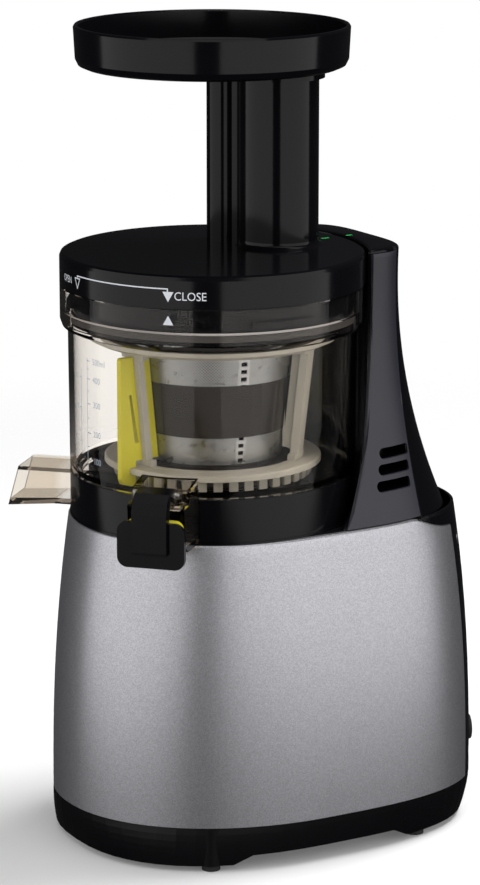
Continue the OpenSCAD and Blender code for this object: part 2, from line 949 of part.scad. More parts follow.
module at_axle() {
  translate([axle_x, axle_y, 0]) children();
}

module at_motor() {
  translate([0, motor_y, 0]) children();
}

// Footprint of the gearbox, grown by extra
module box_outline(extra) {
  circle(r = wheel_r_slow + slow_module + 2 + extra);
  translate([axle_x, axle_y]) circle(r = wheel_r_fast + fast_module + 2 + extra);
  translate([0, motor_y]) circle(r = motor_nose_r + extra);
}

module gearbox_housing() {
  inner_h = box_top_z - box_floor_z - box_floor_t;
  color("#c9cbcf")
    translate([0, 0, box_floor_z])
      difference() {
        linear_extrude(height = box_floor_t + inner_h) box_outline(box_wall);
        translate([0, 0, box_floor_t]) linear_extrude(height = inner_h + 1) box_outline(0);
        translate([0, 0, -1]) cylinder(r = drive_r + bush_wall, h = box_floor_t + 2);
        at_axle() translate([0, 0, -1]) cylinder(r = axle_r, h = box_floor_t + 2);
        at_motor() translate([0, 0, -1]) cylinder(r = motor_shaft_r + 2, h = box_floor_t + 2);
      }
}

module gearbox_cover() {
  color("#b9bbc0")
    translate([0, 0, box_top_z])
      difference() {
        linear_extrude(height = box_cover_t) box_outline(box_wall);
        translate([0, 0, -1]) cylinder(r = drive_r + bush_wall, h = box_cover_t + 2);
        at_axle() translate([0, 0, -1]) cylinder(r = axle_r, h = box_cover_t + 2);
      }
}

module motor_stator() {
  color("#8f9299")
    at_motor() translate([0, 0, stator_low])
      difference() {
        intersection() {
          block(stator_w, stator_w, stator_h);
          rotate([0, 0, 45]) block(stator_w * 1.24, stator_w * 1.24, stator_h);
        }
        translate([0, 0, -1]) cylinder(r = rotor_r + air_gap, h = stator_h + 2);
        for (i = [0 : slot_count - 1])
          rotate([0, 0, 360 * i / slot_count])
            translate([winding_r - 3, 0, -1]) block(winding_t + 1, winding_w + 1, stator_h + 2);
      }
}

module motor_windings() {
  color("#b5652b")
    at_motor()
      for (i = [0 : slot_count - 1])
        rotate([0, 0, 360 * i / slot_count])
          translate([winding_r - 3, 0, stator_low - 5])
            difference() {
              block(winding_t, winding_w, stator_h + 10);
              translate([0, 0, 10]) block(winding_t + 2, 1, stator_h - 10);
            }
}

module bracket(z) {
  at_motor() translate([0, 0, z])
    linear_extrude(height = bracket_t)
      difference() {
        union() {
          for (a = [45, 135])
            rotate(a) square([2 * motor_post * sqrt(2) + 14, 14], center = true);
          circle(r = 17);
        }
        circle(r = motor_shaft_r + bush_wall);
      }
}

lower_bracket_z = pan_floor_z + 10 + damper_h;

module motor_lower_bracket() {
  post_h = stator_low - lower_bracket_z - bracket_t;
  color("#a9acb1") {
    bracket(lower_bracket_z);
    damper_places()
      translate([0, 0, lower_bracket_z + bracket_t - 1]) cylinder(r = 4, h = post_h + 1);
  }
}

module motor_upper_bracket() {
  color("#a9acb1") {
    bracket(upper_bracket_z);
    damper_places()
      translate([0, 0, stator_low + stator_h])
        cylinder(r = 4, h = upper_bracket_z - stator_low - stator_h + 1);
    at_motor()
      for (a = [20, 160])
        rotate([0, 0, a])
          translate([12, 0, upper_bracket_z + 1])
            cylinder(r = 3, h = box_floor_z - upper_bracket_z - 1);
  }
}

module motor_rotor() {
  shaft_low = lower_bracket_z - 1;
  shaft_top = fast_z + fast_h + 1;
  color("#83868c")
    at_motor() {
      translate([0, 0, stator_low]) cylinder(r = rotor_r, h = stator_h);
      translate([0, 0, shaft_low]) cylinder(r = motor_shaft_r, h = shaft_top - shaft_low);
    }
}

module cooling_fan() {
  fan_z = lower_bracket_z + bracket_t + 1.5;
  color("#2a2a2e")
    at_motor() translate([0, 0, fan_z])
      difference() {
        union() {
          cylinder(r = 9, h = fan_h);
          cylinder(r = fan_r, h = 1.2);
          for (i = [0 : fan_blades - 1])
            rotate([0, 0, 360 * i / fan_blades])
              translate([fan_r / 2 + 3.5, 0, 0]) block(fan_r - 9, 1.4, fan_h - 0.5);
        }
        translate([0, 0, -1]) cylinder(r = motor_shaft_r + shaft_gap, h = fan_h + 2);
      }
}

slow_angle = atan2(axle_y, axle_x);
fast_angle = atan2(motor_y - axle_y, -axle_x);

module motor_pinion() {
  color("#9a9da3")
    at_motor() translate([0, 0, fast_z])
      difference() {
        rotate([0, 0, fast_angle + 180 + 180 / pinion_teeth]) gear(pinion_teeth, fast_module, fast_h);
        translate([0, 0, -1]) cylinder(r = motor_shaft_r + shaft_gap, h = fast_h + 2);
      }
}

module intermediate_gear() {
  color("#e8e2d0")
    at_axle()
      difference() {
        union() {
          translate([0, 0, fast_z + 1])
            rotate([0, 0, fast_angle]) gear(wheel_teeth, fast_module, fast_h - 2);
          translate([0, 0, fast_z + fast_h - 1.5])
            rotate([0, 0, slow_angle + 180 + 180 / pinion_teeth])
              gear(pinion_teeth, slow_module, slow_z + slow_h - fast_z - fast_h + 1.5);
        }
        translate([0, 0, fast_z]) cylinder(r = axle_r + shaft_gap, h = slow_z + slow_h - fast_z + 1);
      }
}

module intermediate_axle() {
  color("#b9bcc2")
    at_axle() translate([0, 0, box_floor_z])
      cylinder(r = axle_r, h = box_top_z + box_cover_t - box_floor_z);
}

module output_gear() {
  color("#8b8e94")
    translate([0, 0, slow_z + 0.5])
      difference() {
        rotate([0, 0, slow_angle]) gear(wheel_teeth, slow_module, slow_h - 1);
        translate([0, 0, -1]) cylinder(r = drive_r + shaft_gap, h = slow_h + 2);
      }
}

module drive_shaft() {
  hex_low = deck_z + deck_hub_h + 1;
  color("#c3c6cc") {
    translate([0, 0, box_floor_z + 0.5]) cylinder(r = drive_r, h = hex_low - box_floor_z - 0.5);
    translate([0, 0, hex_low - eps]) cylinder(r = hex_r, h = socket_top - 2 - hex_low, $fn = 6);
  }
}

module shaft_bearings() {
  color("#b08a3c") {
    for (z = [box_floor_z - 1, box_top_z - 1, deck_z - deck_t])
      translate([0, 0, z])
        tube(drive_r + bush_wall, drive_r + shaft_gap, bush_t);
  }
}

module rotor_bearings() {
  color("#b08a3c")
    for (z = [lower_bracket_z, upper_bracket_z])
      at_motor() translate([0, 0, z - 0.5])
        tube(motor_shaft_r + bush_wall, motor_shaft_r + shaft_gap, bracket_t + 1);
}

module shaft_seal() {
  color("#26262a")
    translate([0, 0, deck_z + deck_hub_h - 4])
      tube(drive_r + bush_wall - seat_gap, drive_r + shaft_gap, 4);
}

module motor_dampers() {
  color("#222226")
    damper_places()
      translate([0, 0, pan_floor_z + 10]) cylinder(r = damper_r, h = damper_h);
}

// ========================================
// Electrical parts
// ========================================

module control_board() {
  board_z = pan_floor_z + pan_floor_t + 6;
  color("#2f6b3f")
    translate([0, board_y, board_z]) {
      block(board_w, 1.6, board_h);
      for (x = [-26, -4, 20])
        translate([x, 8, 10]) block(14, 15, 16);
      for (x = [-30, 30])
        translate([x, 0, -6]) block(5, 5, 8);
    }
}

module run_capacitor() {
  color("#d9d9dc")
    translate([0, -12, pan_floor_z + pan_floor_t])
      block(44, 20, 30);
}

module reed_switch() {
  color("#3c6e8f")
    translate([0, concave_r + tower_wall + 3.5, tower_top - tower_wall - 6]) block(16, 6, 6);
}

switch_face = rear_at(switch_z - switch_h / 2) + 0.8;
rocker_y = switch_face - 5;

module switch_bezel() {
  pocket_h = switch_h - 2 * bezel_wall;
  color("#0f0f11")
    difference() {
      translate([0, switch_face - switch_depth / 2, switch_z - switch_h / 2])
        block(switch_w, switch_depth, switch_h);
      translate([0, switch_face - switch_depth / 2 + 2, switch_z - pocket_h / 2])
        block(switch_w - 2 * bezel_wall, switch_depth, pocket_h);
      translate([1 - switch_w / 2, rocker_y, switch_z])
        rotate([0, 90, 0]) cylinder(r = rocker_pin_r + shaft_gap, h = switch_w - 2);
    }
}

module rocker_switch() {
  rocker_w = switch_w - 2 * bezel_wall - 2 * gap;
  half = switch_h / 2 - bezel_wall - 1;
  color("#2c2c30")
    translate([0, rocker_y, switch_z])
      rotate([0, 90, 0]) {
        translate([0, 0, 1.5 - switch_w / 2]) cylinder(r = rocker_pin_r, h = switch_w - 3);
        translate([0, 0, -rocker_w / 2]) cylinder(r = rocker_r, h = rocker_w);
        translate([0, 0, -rocker_w / 2])
          linear_extrude(height = rocker_w)
            polygon([
              [-half, 1], [-rocker_r, 0], [rocker_r, 0], [half, 1],
              [half - 0.4, 4.4], [0, 3.6], [0.4 - half, 4.4]
            ]);
      }
}

module cord_gland() {
  color("#19191b")
    on_body(gland_angle, gland_z)
      rotate([90, 0, 0])
        difference() {
          union() {
            translate([0, 0, -12]) cylinder(r = gland_r - seat_gap, h = 13);
            translate([0, 0, 0.2]) cylinder(r = gland_r + 1.2, h = 1.6);
          }
          translate([0, 0, -13]) cylinder(r = 3.2, h = 20);
        }
}

module base_screws() {
  head_z = pan_low + foot_plug_h + seat_gap;
  color("#9fa2a8")
    foot_places() {
      translate([0, 0, head_z]) cylinder(r = screw_head_r, h = screw_head_h);
      translate([0, 0, head_z]) cylinder(r = screw_r, h = pan_top + screw_post_h - 6 - head_z);
    }
}

module cover_screws() {
  color("#9fa2a8")
    for (side = [-1, 1])
      for (z = [cover_screw_low, cover_screw_high])
        on_body(90 + side * cover_angle, z)
          difference() {
            union() {
              translate([0, 1.4, 0]) rotate([90, 0, 0]) cylinder(r = screw_head_r, h = 1.2);
              translate([0, 1, 0]) rotate([-90, 0, 0]) cylinder(r = screw_r, h = 10);
            }
            for (turn = [0, 90])
              rotate([0, turn, 0]) translate([0, 0.2, -0.5]) block(3.6, 1.2, 1);
          }
}

// ========================================
// Bowl
// ========================================

// Half section of the bowl, radius in X and height in Y
module bowl_profile() {
  collar_in_low = collar_low + 1.5;
  polygon([
    [hub_hole_r, platform_low], [platform_r - 2.6, platform_low],
    [platform_r - 2.6, bowl_floor_z], [cup_r, bowl_floor_z],
    [cup_r, step_z], [bowl_r - 0.1, step_z],
    [bowl_r + 0.4, collar_low], [collar_r - 1.1, collar_low + 1.3],
    [collar_r, collar_low + 4.4], [collar_r, collar_top],
    [collar_inner_r, collar_top], [collar_inner_r, collar_seat_top],
    [collar_seat_r, collar_seat_top - 1.5], [collar_seat_r, collar_in_low + 1],
    [wall_inner_r + 0.4, collar_in_low - 1], [wall_inner_r, step_z + 3],
    [cup_r - bowl_wall, step_z - 1], [cup_r - bowl_wall, bowl_floor_z + floor_t],
    [platform_r, bowl_floor_z + floor_t], [platform_r, platform_top],
    [hub_hole_r, platform_top]
  ]);
}

// Side view of the juice spout: reach in X, height in Y
module juice_outline() {
  polygon([
    [cup_r - 5, bowl_floor_z], [mouth_reach - 6, bowl_floor_z],
    [mouth_reach - 2.5, bowl_floor_z + 3], [mouth_reach, ring_top + 0.5],
    [mouth_reach - 1, juice_shelf - 0.6], [cap_pin_reach - 5.4, juice_shelf],
    [cap_pin_reach - 6, juice_top - 2.4], [bowl_r - 1, juice_top], [cup_r - 5, juice_top]
  ]);
}

module juice_hollow() {
  polygon([
    [cup_r - 6, bowl_floor_z + spout_wall], [mouth_reach + 3, bowl_floor_z + spout_wall],
    [mouth_reach + 3, juice_shelf - spout_wall], [cap_pin_reach - 5.4 - spout_wall, juice_shelf - spout_wall],
    [cap_pin_reach - 6 - spout_wall, juice_top - 2.4 - spout_wall],
    [cup_r - 6, juice_top - spout_wall]
  ]);
}

module across_spout(width) {
  facing(spout_angle)
    rotate([90, 0, 90])
      translate([0, 0, -width / 2])
        linear_extrude(height = width) children();
}

module pulp_outline(inset, extra) {
  polygon([
    [pulp_drop_in - 2 + inset, pulp_low + inset], [pulp_bend, pulp_low + inset],
    [pulp_reach + extra, pulp_low - pulp_dip + inset],
    [pulp_reach - pulp_slant + extra, pulp_top - inset], [pulp_drop_in - 2 + inset, pulp_top - inset]
  ]);
}

module pulp_solid(width, inset, extra) {
  facing(-spout_angle)
    rotate([90, 0, 90])
      translate([0, 0, -width / 2])
        linear_extrude(height = width) pulp_outline(inset, extra);
}

// Juice spout, cut off where the bowl's inside begins
module juice_spout() {
  difference() {
    across_spout(spout_w) juice_outline();
    cylinder(r = cup_r - bowl_wall + 0.5, h = step_z);
    translate([0, 0, step_z - eps]) cylinder(r = wall_inner_r + 0.5, h = ring_h);
  }
}

module cap_ear_places() {
  for (side = [-1, 1])
    translate([side * (strap_w / 2 + gap + cap_ear_t / 2), 0, 0]) children();
}

module cap_ears() {
  facing(spout_angle)
    cap_ear_places()
      difference() {
        union() {
          translate([-cap_ear_t / 2, cap_pin_reach, cap_pin_z])
            rotate([0, 90, 0]) cylinder(r = cap_barrel_r - 0.2, h = cap_ear_t);
          translate([0, cap_pin_reach - 1, cap_pin_z - 6])
            block(cap_ear_t, 2 * cap_barrel_r, 6);
        }
        translate([-cap_ear_t, cap_pin_reach, cap_pin_z])
          rotate([0, 90, 0]) cylinder(r = cap_pin_r, h = 2 * cap_ear_t);
      }
}

module bayonet_ribs() {
  for (i = [0 : ridge_count - 1])
    translate([0, 0, rib_z])
      ring_arc(
        collar_inner_r + 0.5, collar_inner_r - rib_in, rib_h,
        lug_first + 120 * i, lug_first + 120 * i + rib_span
      );
}

// Seat that carries the strainer, open where the idler gear turns
module strainer_seat() {
  open_half = 34;
  translate([0, 0, platform_top - eps])
    difference() {
      ring_arc(
        platform_r - 1.8, platform_r - 5, seat_z - platform_top,
        idler_angle + open_half, idler_angle + 360 - open_half
      );
    }
}

// Raised rim round the hole where the pulp drops into its duct
module pulp_well(rim) {
  facing(-spout_angle)
    translate([0, (pulp_drop_in + pulp_drop_out) / 2, platform_top - eps])
      block(18 + rim, pulp_drop_out - pulp_drop_in + rim, seat_z - platform_top);
}

module juicing_bowl() {
  color([0.55, 0.47, 0.4, 0.45])
    difference() {
      union() {
        rotate_extrude() bowl_profile();
        juice_spout();
        pulp_solid(spout_w - 2, 0, 0);
        cap_ears();
        bayonet_ribs();
        strainer_seat();
        pulp_well(4);
      }
      across_spout(spout_w - 2 * spout_wall) juice_hollow();
      pulp_solid(spout_w - 2 - 2 * spout_wall, spout_wall, 10);
      facing(-spout_angle)
        translate([0, (pulp_drop_in + pulp_drop_out) / 2, pulp_top - spout_wall - 1])
          block(18, pulp_drop_out - pulp_drop_in, seat_z - platform_low + 6);
      facing(-spout_angle)
        translate([0, (plug_in + plug_out) / 2, bowl_floor_z - 1])
          block(2 * plug_half_w, plug_out - plug_in, spout_wall + 2);
      translate([0, 0, platform_low - 6]) cylinder(r = hub_hole_r, h = 12);
      rotate([0, 0, idler_angle])
        translate([idler_centre, 0, platform_low - 1]) cylinder(r = idler_pin_r, h = 6);
    }
}

module bowl_seal() {
  color("#3a3a3e")
    translate([0, 0, platform_low - 1])
      difference() {
        union() {
          cylinder(r = hub_hole_r - seat_gap, h = platform_top - platform_low + 1.4);
          cylinder(r = hub_hole_r + 2, h = 0.9);
        }
        translate([0, 0, -1]) cylinder(r = hub_r + gap, h = 10);
      }
}

module pulp_plug() {
  color("#b9bdc2")
    facing(-spout_angle)
      translate([0, (plug_in + plug_out) / 2, bowl_floor_z - 0.6]) {
        block(2 * plug_half_w - 0.6, plug_out - plug_in - 0.6, spout_wall + 0.4);
        block(2 * plug_half_w + 3, plug_out - plug_in + 3, 0.5);
      }
}

module at_idler() {
  rotate([0, 0, idler_angle]) translate([idler_centre, 0, 0]) children();
}

module idler_pin() {
  color("#b9bcc2")
    at_idler() translate([0, 0, platform_low]) {
      cylinder(r = idler_pin_r, h = gear_top - platform_low);
      translate([0, 0, gear_top - platform_low + 0.2]) cylinder(r = idler_pin_r + 1, h = 0.5);
      cylinder(r = idler_pin_r - 1, h = gear_top - platform_low + 0.4);
    }
}

module idler_gear() {
  color("#efeade")
    at_idler() translate([0, 0, gear_low])
      difference() {
        rotate([0, 0, 180 + 180 / idler_teeth]) gear(idler_teeth, bowl_module, bowl_gear_h);
        translate([0, 0, -1]) cylinder(r = idler_pin_r + shaft_gap, h = bowl_gear_h + 2);
      }
}

// ========================================
// Juice cap
// ========================================

module cap_hinge_pin() {
  half = strap_w / 2 + gap + cap_ear_t;
  color("#b9bcc2")
    facing(spout_angle)
      translate([-half, cap_pin_reach, cap_pin_z])
        rotate([0, 90, 0]) cylinder(r = cap_pin_r, h = 2 * half);
}

// Flat plate with round corners: width in X, height in Z, thickness along +Y
module rounded_plate(width, height, thick, corner) {
  rotate([90, 0, 0])
    translate([0, 0, -thick])
      linear_extrude(height = thick)
        union() {
          square([width - 2 * corner, height], center = true);
          square([width, height - 2 * corner], center = true);
          for (x = [-1, 1])
            for (y = [-1, 1])
              translate([x * (width / 2 - corner), y * (height / 2 - corner)])
                circle(r = corner, $fn = edge_fn);
        }
}

module juice_cap() {
  strap_low = cap_plate_low + 7;
  strap_face = cap_reach + strap_stand;
  color("#0f0f11")
    facing(spout_angle)
      difference() {
        union() {
          translate([0, cap_reach - cap_plate_t, (cap_plate_top + cap_plate_low) / 2])
            rounded_plate(2 * cap_half_w, cap_plate_h, cap_plate_t, cap_corner_r);
          translate([-strap_w / 2, cap_pin_reach, cap_pin_z])
            rotate([0, 90, 0]) cylinder(r = cap_barrel_r, h = strap_w);
          rotate([90, 0, 90])
            translate([0, 0, -strap_w / 2])
              linear_extrude(height = strap_w)
                polygon([
                  [cap_pin_reach, cap_pin_z + cap_barrel_r],
                  [cap_reach - 3, cap_pin_z + cap_barrel_r - 1.2],
                  [strap_face - 1.2, cap_pin_z - 1.5], [strap_face, cap_pin_z - 7],
                  [strap_face, strap_low + 1], [strap_face + 0.6, strap_low],
                  [cap_reach - 1, strap_low], [cap_reach - 1, cap_plate_top - 3],
                  [cap_reach - 2.6, cap_plate_top + 2], [cap_reach - 4, cap_pin_z - 2],
                  [cap_pin_reach + 1, cap_pin_z - 1]
                ]);
        }
        translate([-strap_w, cap_pin_reach, cap_pin_z])
          rotate([0, 90, 0]) cylinder(r = cap_pin_r + shaft_gap, h = 2 * strap_w);
      }
}

module juice_cap_seal() {
  seal_t = cap_reach - cap_plate_t - mouth_reach - gap;
  color("#d9cf2f")
    facing(spout_angle)
      translate([0, mouth_reach + gap, (cap_plate_top + cap_plate_low) / 2 + 2.5])
        rounded_plate(spout_w, cap_plate_h - 5, seal_t, cap_corner_r - 1);
}

// ========================================
// Strainer, brush and auger
// ========================================

function strainer_r(z) =
  strainer_low_r + (strainer_top_r - strainer_low_r) * (z - strainer_low) / (strainer_top - strainer_low);

// Conical skin of the strainer between two heights
module strainer_skin(low, high, r_shift, thick) {
  rotate_extrude()
    polygon([
      [strainer_r(low) + r_shift - thick, low], [strainer_r(low) + r_shift, low],
      [strainer_r(high) + r_shift, high], [strainer_r(high) + r_shift - thick, high]
    ]);
}

// Upright ribs behind the mesh between two heights
module strainer_ribs(low, high) {
  rib_count = 8;
  intersection() {
    strainer_skin(low - 1, high + 1, -mesh_t - 2 * seat_gap, 0.8);
    for (i = [0 : rib_count / 2 - 1])
      rotate([0, 0, 11 + 360 * i / rib_count])
        translate([0, 0, low - 2]) block(2 * strainer_top_r + 4, 2.2, high - low + 4);
  }
}

module strainer_frame() {
  base_r = platform_r - 1.8;
  color([0.2, 0.18, 0.17])
    difference() {
      union() {
        translate([0, 0, strainer_low]) cylinder(r = base_r, h = strainer_floor_t);
        strainer_skin(strainer_low + 1, strainer_low + 3.5, 0, 2.6);
        strainer_skin(band_low, band_high, 0, 2);
        strainer_skin(strainer_top - strainer_rim_h, strainer_top, 0.6, 2.6);
        strainer_ribs(strainer_low + 3.5, band_low);
        strainer_ribs(band_high, strainer_top - strainer_rim_h);
      }
      translate([0, 0, strainer_low - 1]) cylinder(r = auger_pitch_r + bowl_module + 1, h = 4);
      facing(-spout_angle)
        translate([0, (pulp_drop_in + strainer_low_r - 3) / 2, strainer_low - 1])
          block(17, strainer_low_r - 3 - pulp_drop_in, strainer_floor_t + 2);
    }
}

module strainer_mesh(low, high) {
  color("#b8bbc0") strainer_skin(low + seat_gap, high - seat_gap, 0, mesh_t);
}

module strainer_mesh_upper() {
  strainer_mesh(band_high, strainer_top - strainer_rim_h);
}

module strainer_mesh_lower() {
  strainer_mesh(strainer_low + 3.5, band_low);
}

function brush_r(z) = strainer_r(z) + brush_clear;

// Half section of the brush frame: toothed flange, conical wall and flared lip
module brush_profile() {
  foot_z = brush_low + flange_t;
  neck_z = brush_top - brush_neck;
  step_z = strainer_low + strainer_floor_t + 1;
  polygon([
    [brush_inner_r, brush_low], [brush_flange_r, brush_low],
    [brush_flange_r, foot_z - 0.6], [brush_flange_r - 0.6, foot_z],
    [brush_r(foot_z) + brush_wall, foot_z],
    [brush_r(neck_z) + brush_wall, neck_z], [brush_top_r - 4, brush_top - 4],
    [brush_top_r, brush_top - 2], [brush_top_r, brush_top],
    [brush_top_r - 2.4, brush_top], [brush_top_r - 5.5, brush_top - 2],
    [brush_r(neck_z) + 1.5, neck_z + 1], [brush_r(neck_z), neck_z - 1],
    [brush_r(step_z), step_z], [brush_inner_r, step_z - 0.8]
  ]);
}

module brush_ring_teeth() {
  difference() {
    translate([0, 0, gear_low])
      tube(tooth_block_r, ring_pitch_r - addendum * bowl_module, brush_low - gear_low + 1);
    translate([0, 0, gear_low - 1])
      rotate([0, 0, idler_angle + 180 / ring_teeth])
        linear_extrude(height = brush_low - gear_low + 1)
          union() {
            polygon(gear_points(ring_teeth, bowl_module, -backlash, dedendum, addendum + 0.1));
            for (i = [0 : ring_teeth - 1])
              rotate(360 * i / ring_teeth)
                translate([ring_pitch_r, -ring_slot_w / 2]) square([4, ring_slot_w]);
          }
  }
}

// Windows between the arms, with cut corners
module brush_windows() {
  low = brush_low + flange_t + 0.2;
  high = brush_top - brush_neck;
  corner = 3;
  for (i = [0 : brush_arms - 1])
    for (step = [[low, low + corner, 3.5], [low + corner, high - corner, 0], [high - corner, high, 3.5]])
      translate([0, 0, step[0] - eps])
        sector(
          brush_top_r,
          brush_arm_phase + 120 * i + arm_half_angle + step[2],
          brush_arm_phase + 120 * (i + 1) - arm_half_angle - step[2],
          step[1] - step[0] + 2 * eps
        );
}

// Side view of a wiper, grown by extra: radius in X, height in Y
module wiper_outline(extra) {
  low_r = tooth_block_r + 0.8 - extra;
  low = wiper_low - extra;
  top = wiper_top + extra;
  out = wiper_out + extra;
  polygon([
    [low_r, low], [out - 4, low], [out - 1.2, wiper_low + 1.2], [out, wiper_low + 4],
    [out, top - 0.8], [out - 0.8, top], [strainer_r(wiper_top) + 0.5 - extra, top],
    [strainer_r(wiper_step) + 0.5 - extra, wiper_step - extra], [low_r, wiper_step - extra]
  ]);
}

// Stands flat shapes up on the given brush arms, centred on each arm
module at_arms(arms, thick) {
  for (i = arms)
    rotate([0, 0, brush_arm_phase + 360 / brush_arms * i])
      rotate([90, 0, 0])
        translate([0, 0, -thick / 2])
          linear_extrude(height = thick) children();
}

// Rib inside the arm that carries no wiper, reaching towards the strainer
module scraper_rib() {
  rib_low = brush_low + 9;
  rib_top = brush_top - brush_neck - 3;
  at_arms([rib_arm], wiper_t)
    polygon([
      [brush_r(rib_low) - rib_reach, rib_low], [brush_r(rib_low) + 1, rib_low - 2],
      [brush_r(rib_top) + 1, rib_top + 2], [brush_r(rib_top) - rib_reach, rib_top]
    ]);
}

module brush_frame() {
  color("#dcd8cc")
    difference() {
      union() {
        brush_ring_teeth();
        rotate_extrude() brush_profile();
        scraper_rib();
      }
      brush_windows();
      at_arms(wiper_arms, wiper_t + 2 * seat_gap) wiper_outline(seat_gap);
    }
}

// Silicone blades with a slanted slot, held in the arms between strainer and bowl wall
module wiper_blades() {
  slot_top = wiper_slot_low + wiper_slot_h;
  color("#d6dc3c")
    at_arms(wiper_arms, wiper_t)
      difference() {
        wiper_outline(0);
        polygon([
          [wiper_out - 10.6, wiper_slot_low], [wiper_out - 8, wiper_slot_low],
          [wiper_out - 4.8, slot_top], [wiper_out - 6.2, slot_top]
        ]);
      }
}

// Radius of the auger's cross section at angle a: two flights on a round core
function flight_r(a) =
  auger_core_r + (auger_low_r - auger_core_r) * pow(abs(cos(a)), 6);

module auger() {
  nose_top = auger_top + 8;
  color("#2b2b2e")
    difference() {
      union() {
        translate([0, 0, auger_low])
          linear_extrude(
            height = auger_len, twist = auger_twist,
            slices = auger_slices, scale = auger_flare, $fn = auger_steps
          )
            polygon([
              for (i = [0 : auger_steps - 1])
              let (a = 360 * i / auger_steps)
              [flight_r(a) * cos(a), flight_r(a) * sin(a)]
            ]);
        translate([0, 0, hub_low]) cylinder(r = hub_r, h = auger_low - hub_low + 1);
        translate([0, 0, auger_top - 1]) cylinder(r1 = auger_core_r, r2 = auger_pin_r + 2, h = nose_top - auger_top);
        translate([0, 0, auger_top]) cylinder(r = auger_pin_r, h = auger_pin_top - auger_top);
      }
      translate([0, 0, hub_low - 1]) cylinder(r = socket_r, h = socket_top - hub_low + 1);
    }
}

module auger_gear() {
  color("#efeade")
    translate([0, 0, gear_low])
      difference() {
        rotate([0, 0, idler_angle]) gear(auger_teeth, bowl_module, bowl_gear_h);
        translate([0, 0, -1]) cylinder(r = hub_r + shaft_gap, h = bowl_gear_h + 2);
      }
}

module auger_drive_socket() {
  color("#c3c6cc")
    translate([0, 0, hub_low])
      difference() {
        cylinder(r = socket_r - shaft_gap, h = socket_top - hub_low - seat_gap);
        translate([0, 0, -1]) cylinder(r = hex_r + gap, h = socket_top - hub_low, $fn = 6);
      }
}

// ========================================
// Lid and tray
// ========================================

module lid_gasket() {
  color("#c9ccd1")
    translate([0, 0, gasket_z])
      tube(collar_seat_r - gap, skirt_r - gasket_depth + gap, gasket_h);
}

// Two-lobed outline of the chute, grown by extra
module chute_outline(extra) {
  translate([0, chute_y]) circle(r = chute_r + extra);
  translate([small_lobe_x, small_lobe_y]) circle(r = small_lobe_r + extra);
  neck_angle = atan2(chute_y - small_lobe_y, -small_lobe_x);
  translate([small_lobe_x, small_lobe_y])
    rotate([0, 0, neck_angle])
      translate([0, -lobe_neck_w / 2 - extra])
        square([-small_lobe_x, lobe_neck_w + 2 * extra]);
}

module lid_shell() {
  rotate_extrude()
    polygon([
      [0, lid_top - lid_wall], [skirt_r - skirt_wall, lid_top - lid_wall],
      [skirt_r - skirt_wall, skirt_low], [skirt_r, skirt_low],
      [skirt_r, gasket_z - gap], [skirt_r - gasket_depth, gasket_z - gap],
      [skirt_r - gasket_depth, gasket_z + gasket_h + gap], [skirt_r, gasket_z + gasket_h + gap],
      [skirt_r, lid_top - lid_wall], [collar_r - lid_wall, lid_top - lid_wall],
      [collar_r - lid_wall, lid_low], [collar_r, lid_low],
      [collar_r, lid_top - lid_edge_r], [collar_r - lid_edge_r * 0.3, lid_top - lid_edge_r * 0.3],
      [collar_r - lid_edge_r, lid_top], [0, lid_top]
    ]);
}

// Bayonet lugs, which stop beside the bowl's ribs when the lid is closed
module lid_lugs() {
  for (i = [0 : ridge_count - 1])
    translate([0, 0, rib_z - 1])
      ring_arc(
        collar_inner_r - gap, skirt_r - 0.5, 3,
        lug_first + 120 * i + rib_span + lug_gap, lug_first + 120 * i + rib_span + lug_gap + lug_span
      );
}

// Slanted duct from the chute's bore to the strainer's mouth, grown by extra
module funnel(extra) {
  hull() {
    translate([0, chute_y, lid_top - lid_wall - 1])
      cylinder(r = chute_r - lid_wall + extra, h = 1, $fn = 32);
    translate([0, throat_y, throat_z]) cylinder(r = throat_r - lid_wall + extra, h = 1, $fn = 32);
  }
}

module lid() {
  bush_low = auger_pin_top - bush_h + 1;
  color("#0d0d0f")
    difference() {
      union() {
        lid_shell();
        lid_lugs();
        translate([0, 0, lid_top - lid_wall])
          linear_extrude(height = chute_top - lid_top + lid_wall) chute_outline(0);
        funnel(lid_wall);
        translate([0, 0, bush_low]) cylinder(r = bush_r + 3, h = lid_top - bush_low - 1);
        translate([0, magnet_y, lid_top - lid_wall - magnet_h - 1]) cylinder(r = magnet_r + 1.5, h = magnet_h + 2);
      }
      translate([0, 0, lid_top - lid_wall - 1]) linear_extrude(height = chute_h + 10) chute_outline(-lid_wall);
      funnel(0);
      translate([0, throat_y, throat_z - 1]) cylinder(r = throat_r - lid_wall, h = 2, $fn = 32);
      translate([0, 0, bush_low - 1]) cylinder(r = bush_r, h = bush_h + 1);
      translate([0, magnet_y, lid_top - lid_wall - magnet_h - 2])
        cylinder(r = magnet_r, h = magnet_h + 1 + seat_gap);
    }
}

module lid_bush() {
  bush_low = auger_pin_top - bush_h + 1;
  color("#d8d4c8")
    translate([0, 0, bush_low])
      difference() {
        cylinder(r = bush_r - seat_gap, h = bush_h);
        translate([0, 0, -1]) cylinder(r = auger_pin_r + shaft_gap, h = bush_h + 0.5);
      }
}

module lid_magnet() {
  color("#8e9197")
    translate([0, magnet_y, lid_top - lid_wall - magnet_h - 1])
      cylinder(r = magnet_r - seat_gap, h = magnet_h);
}

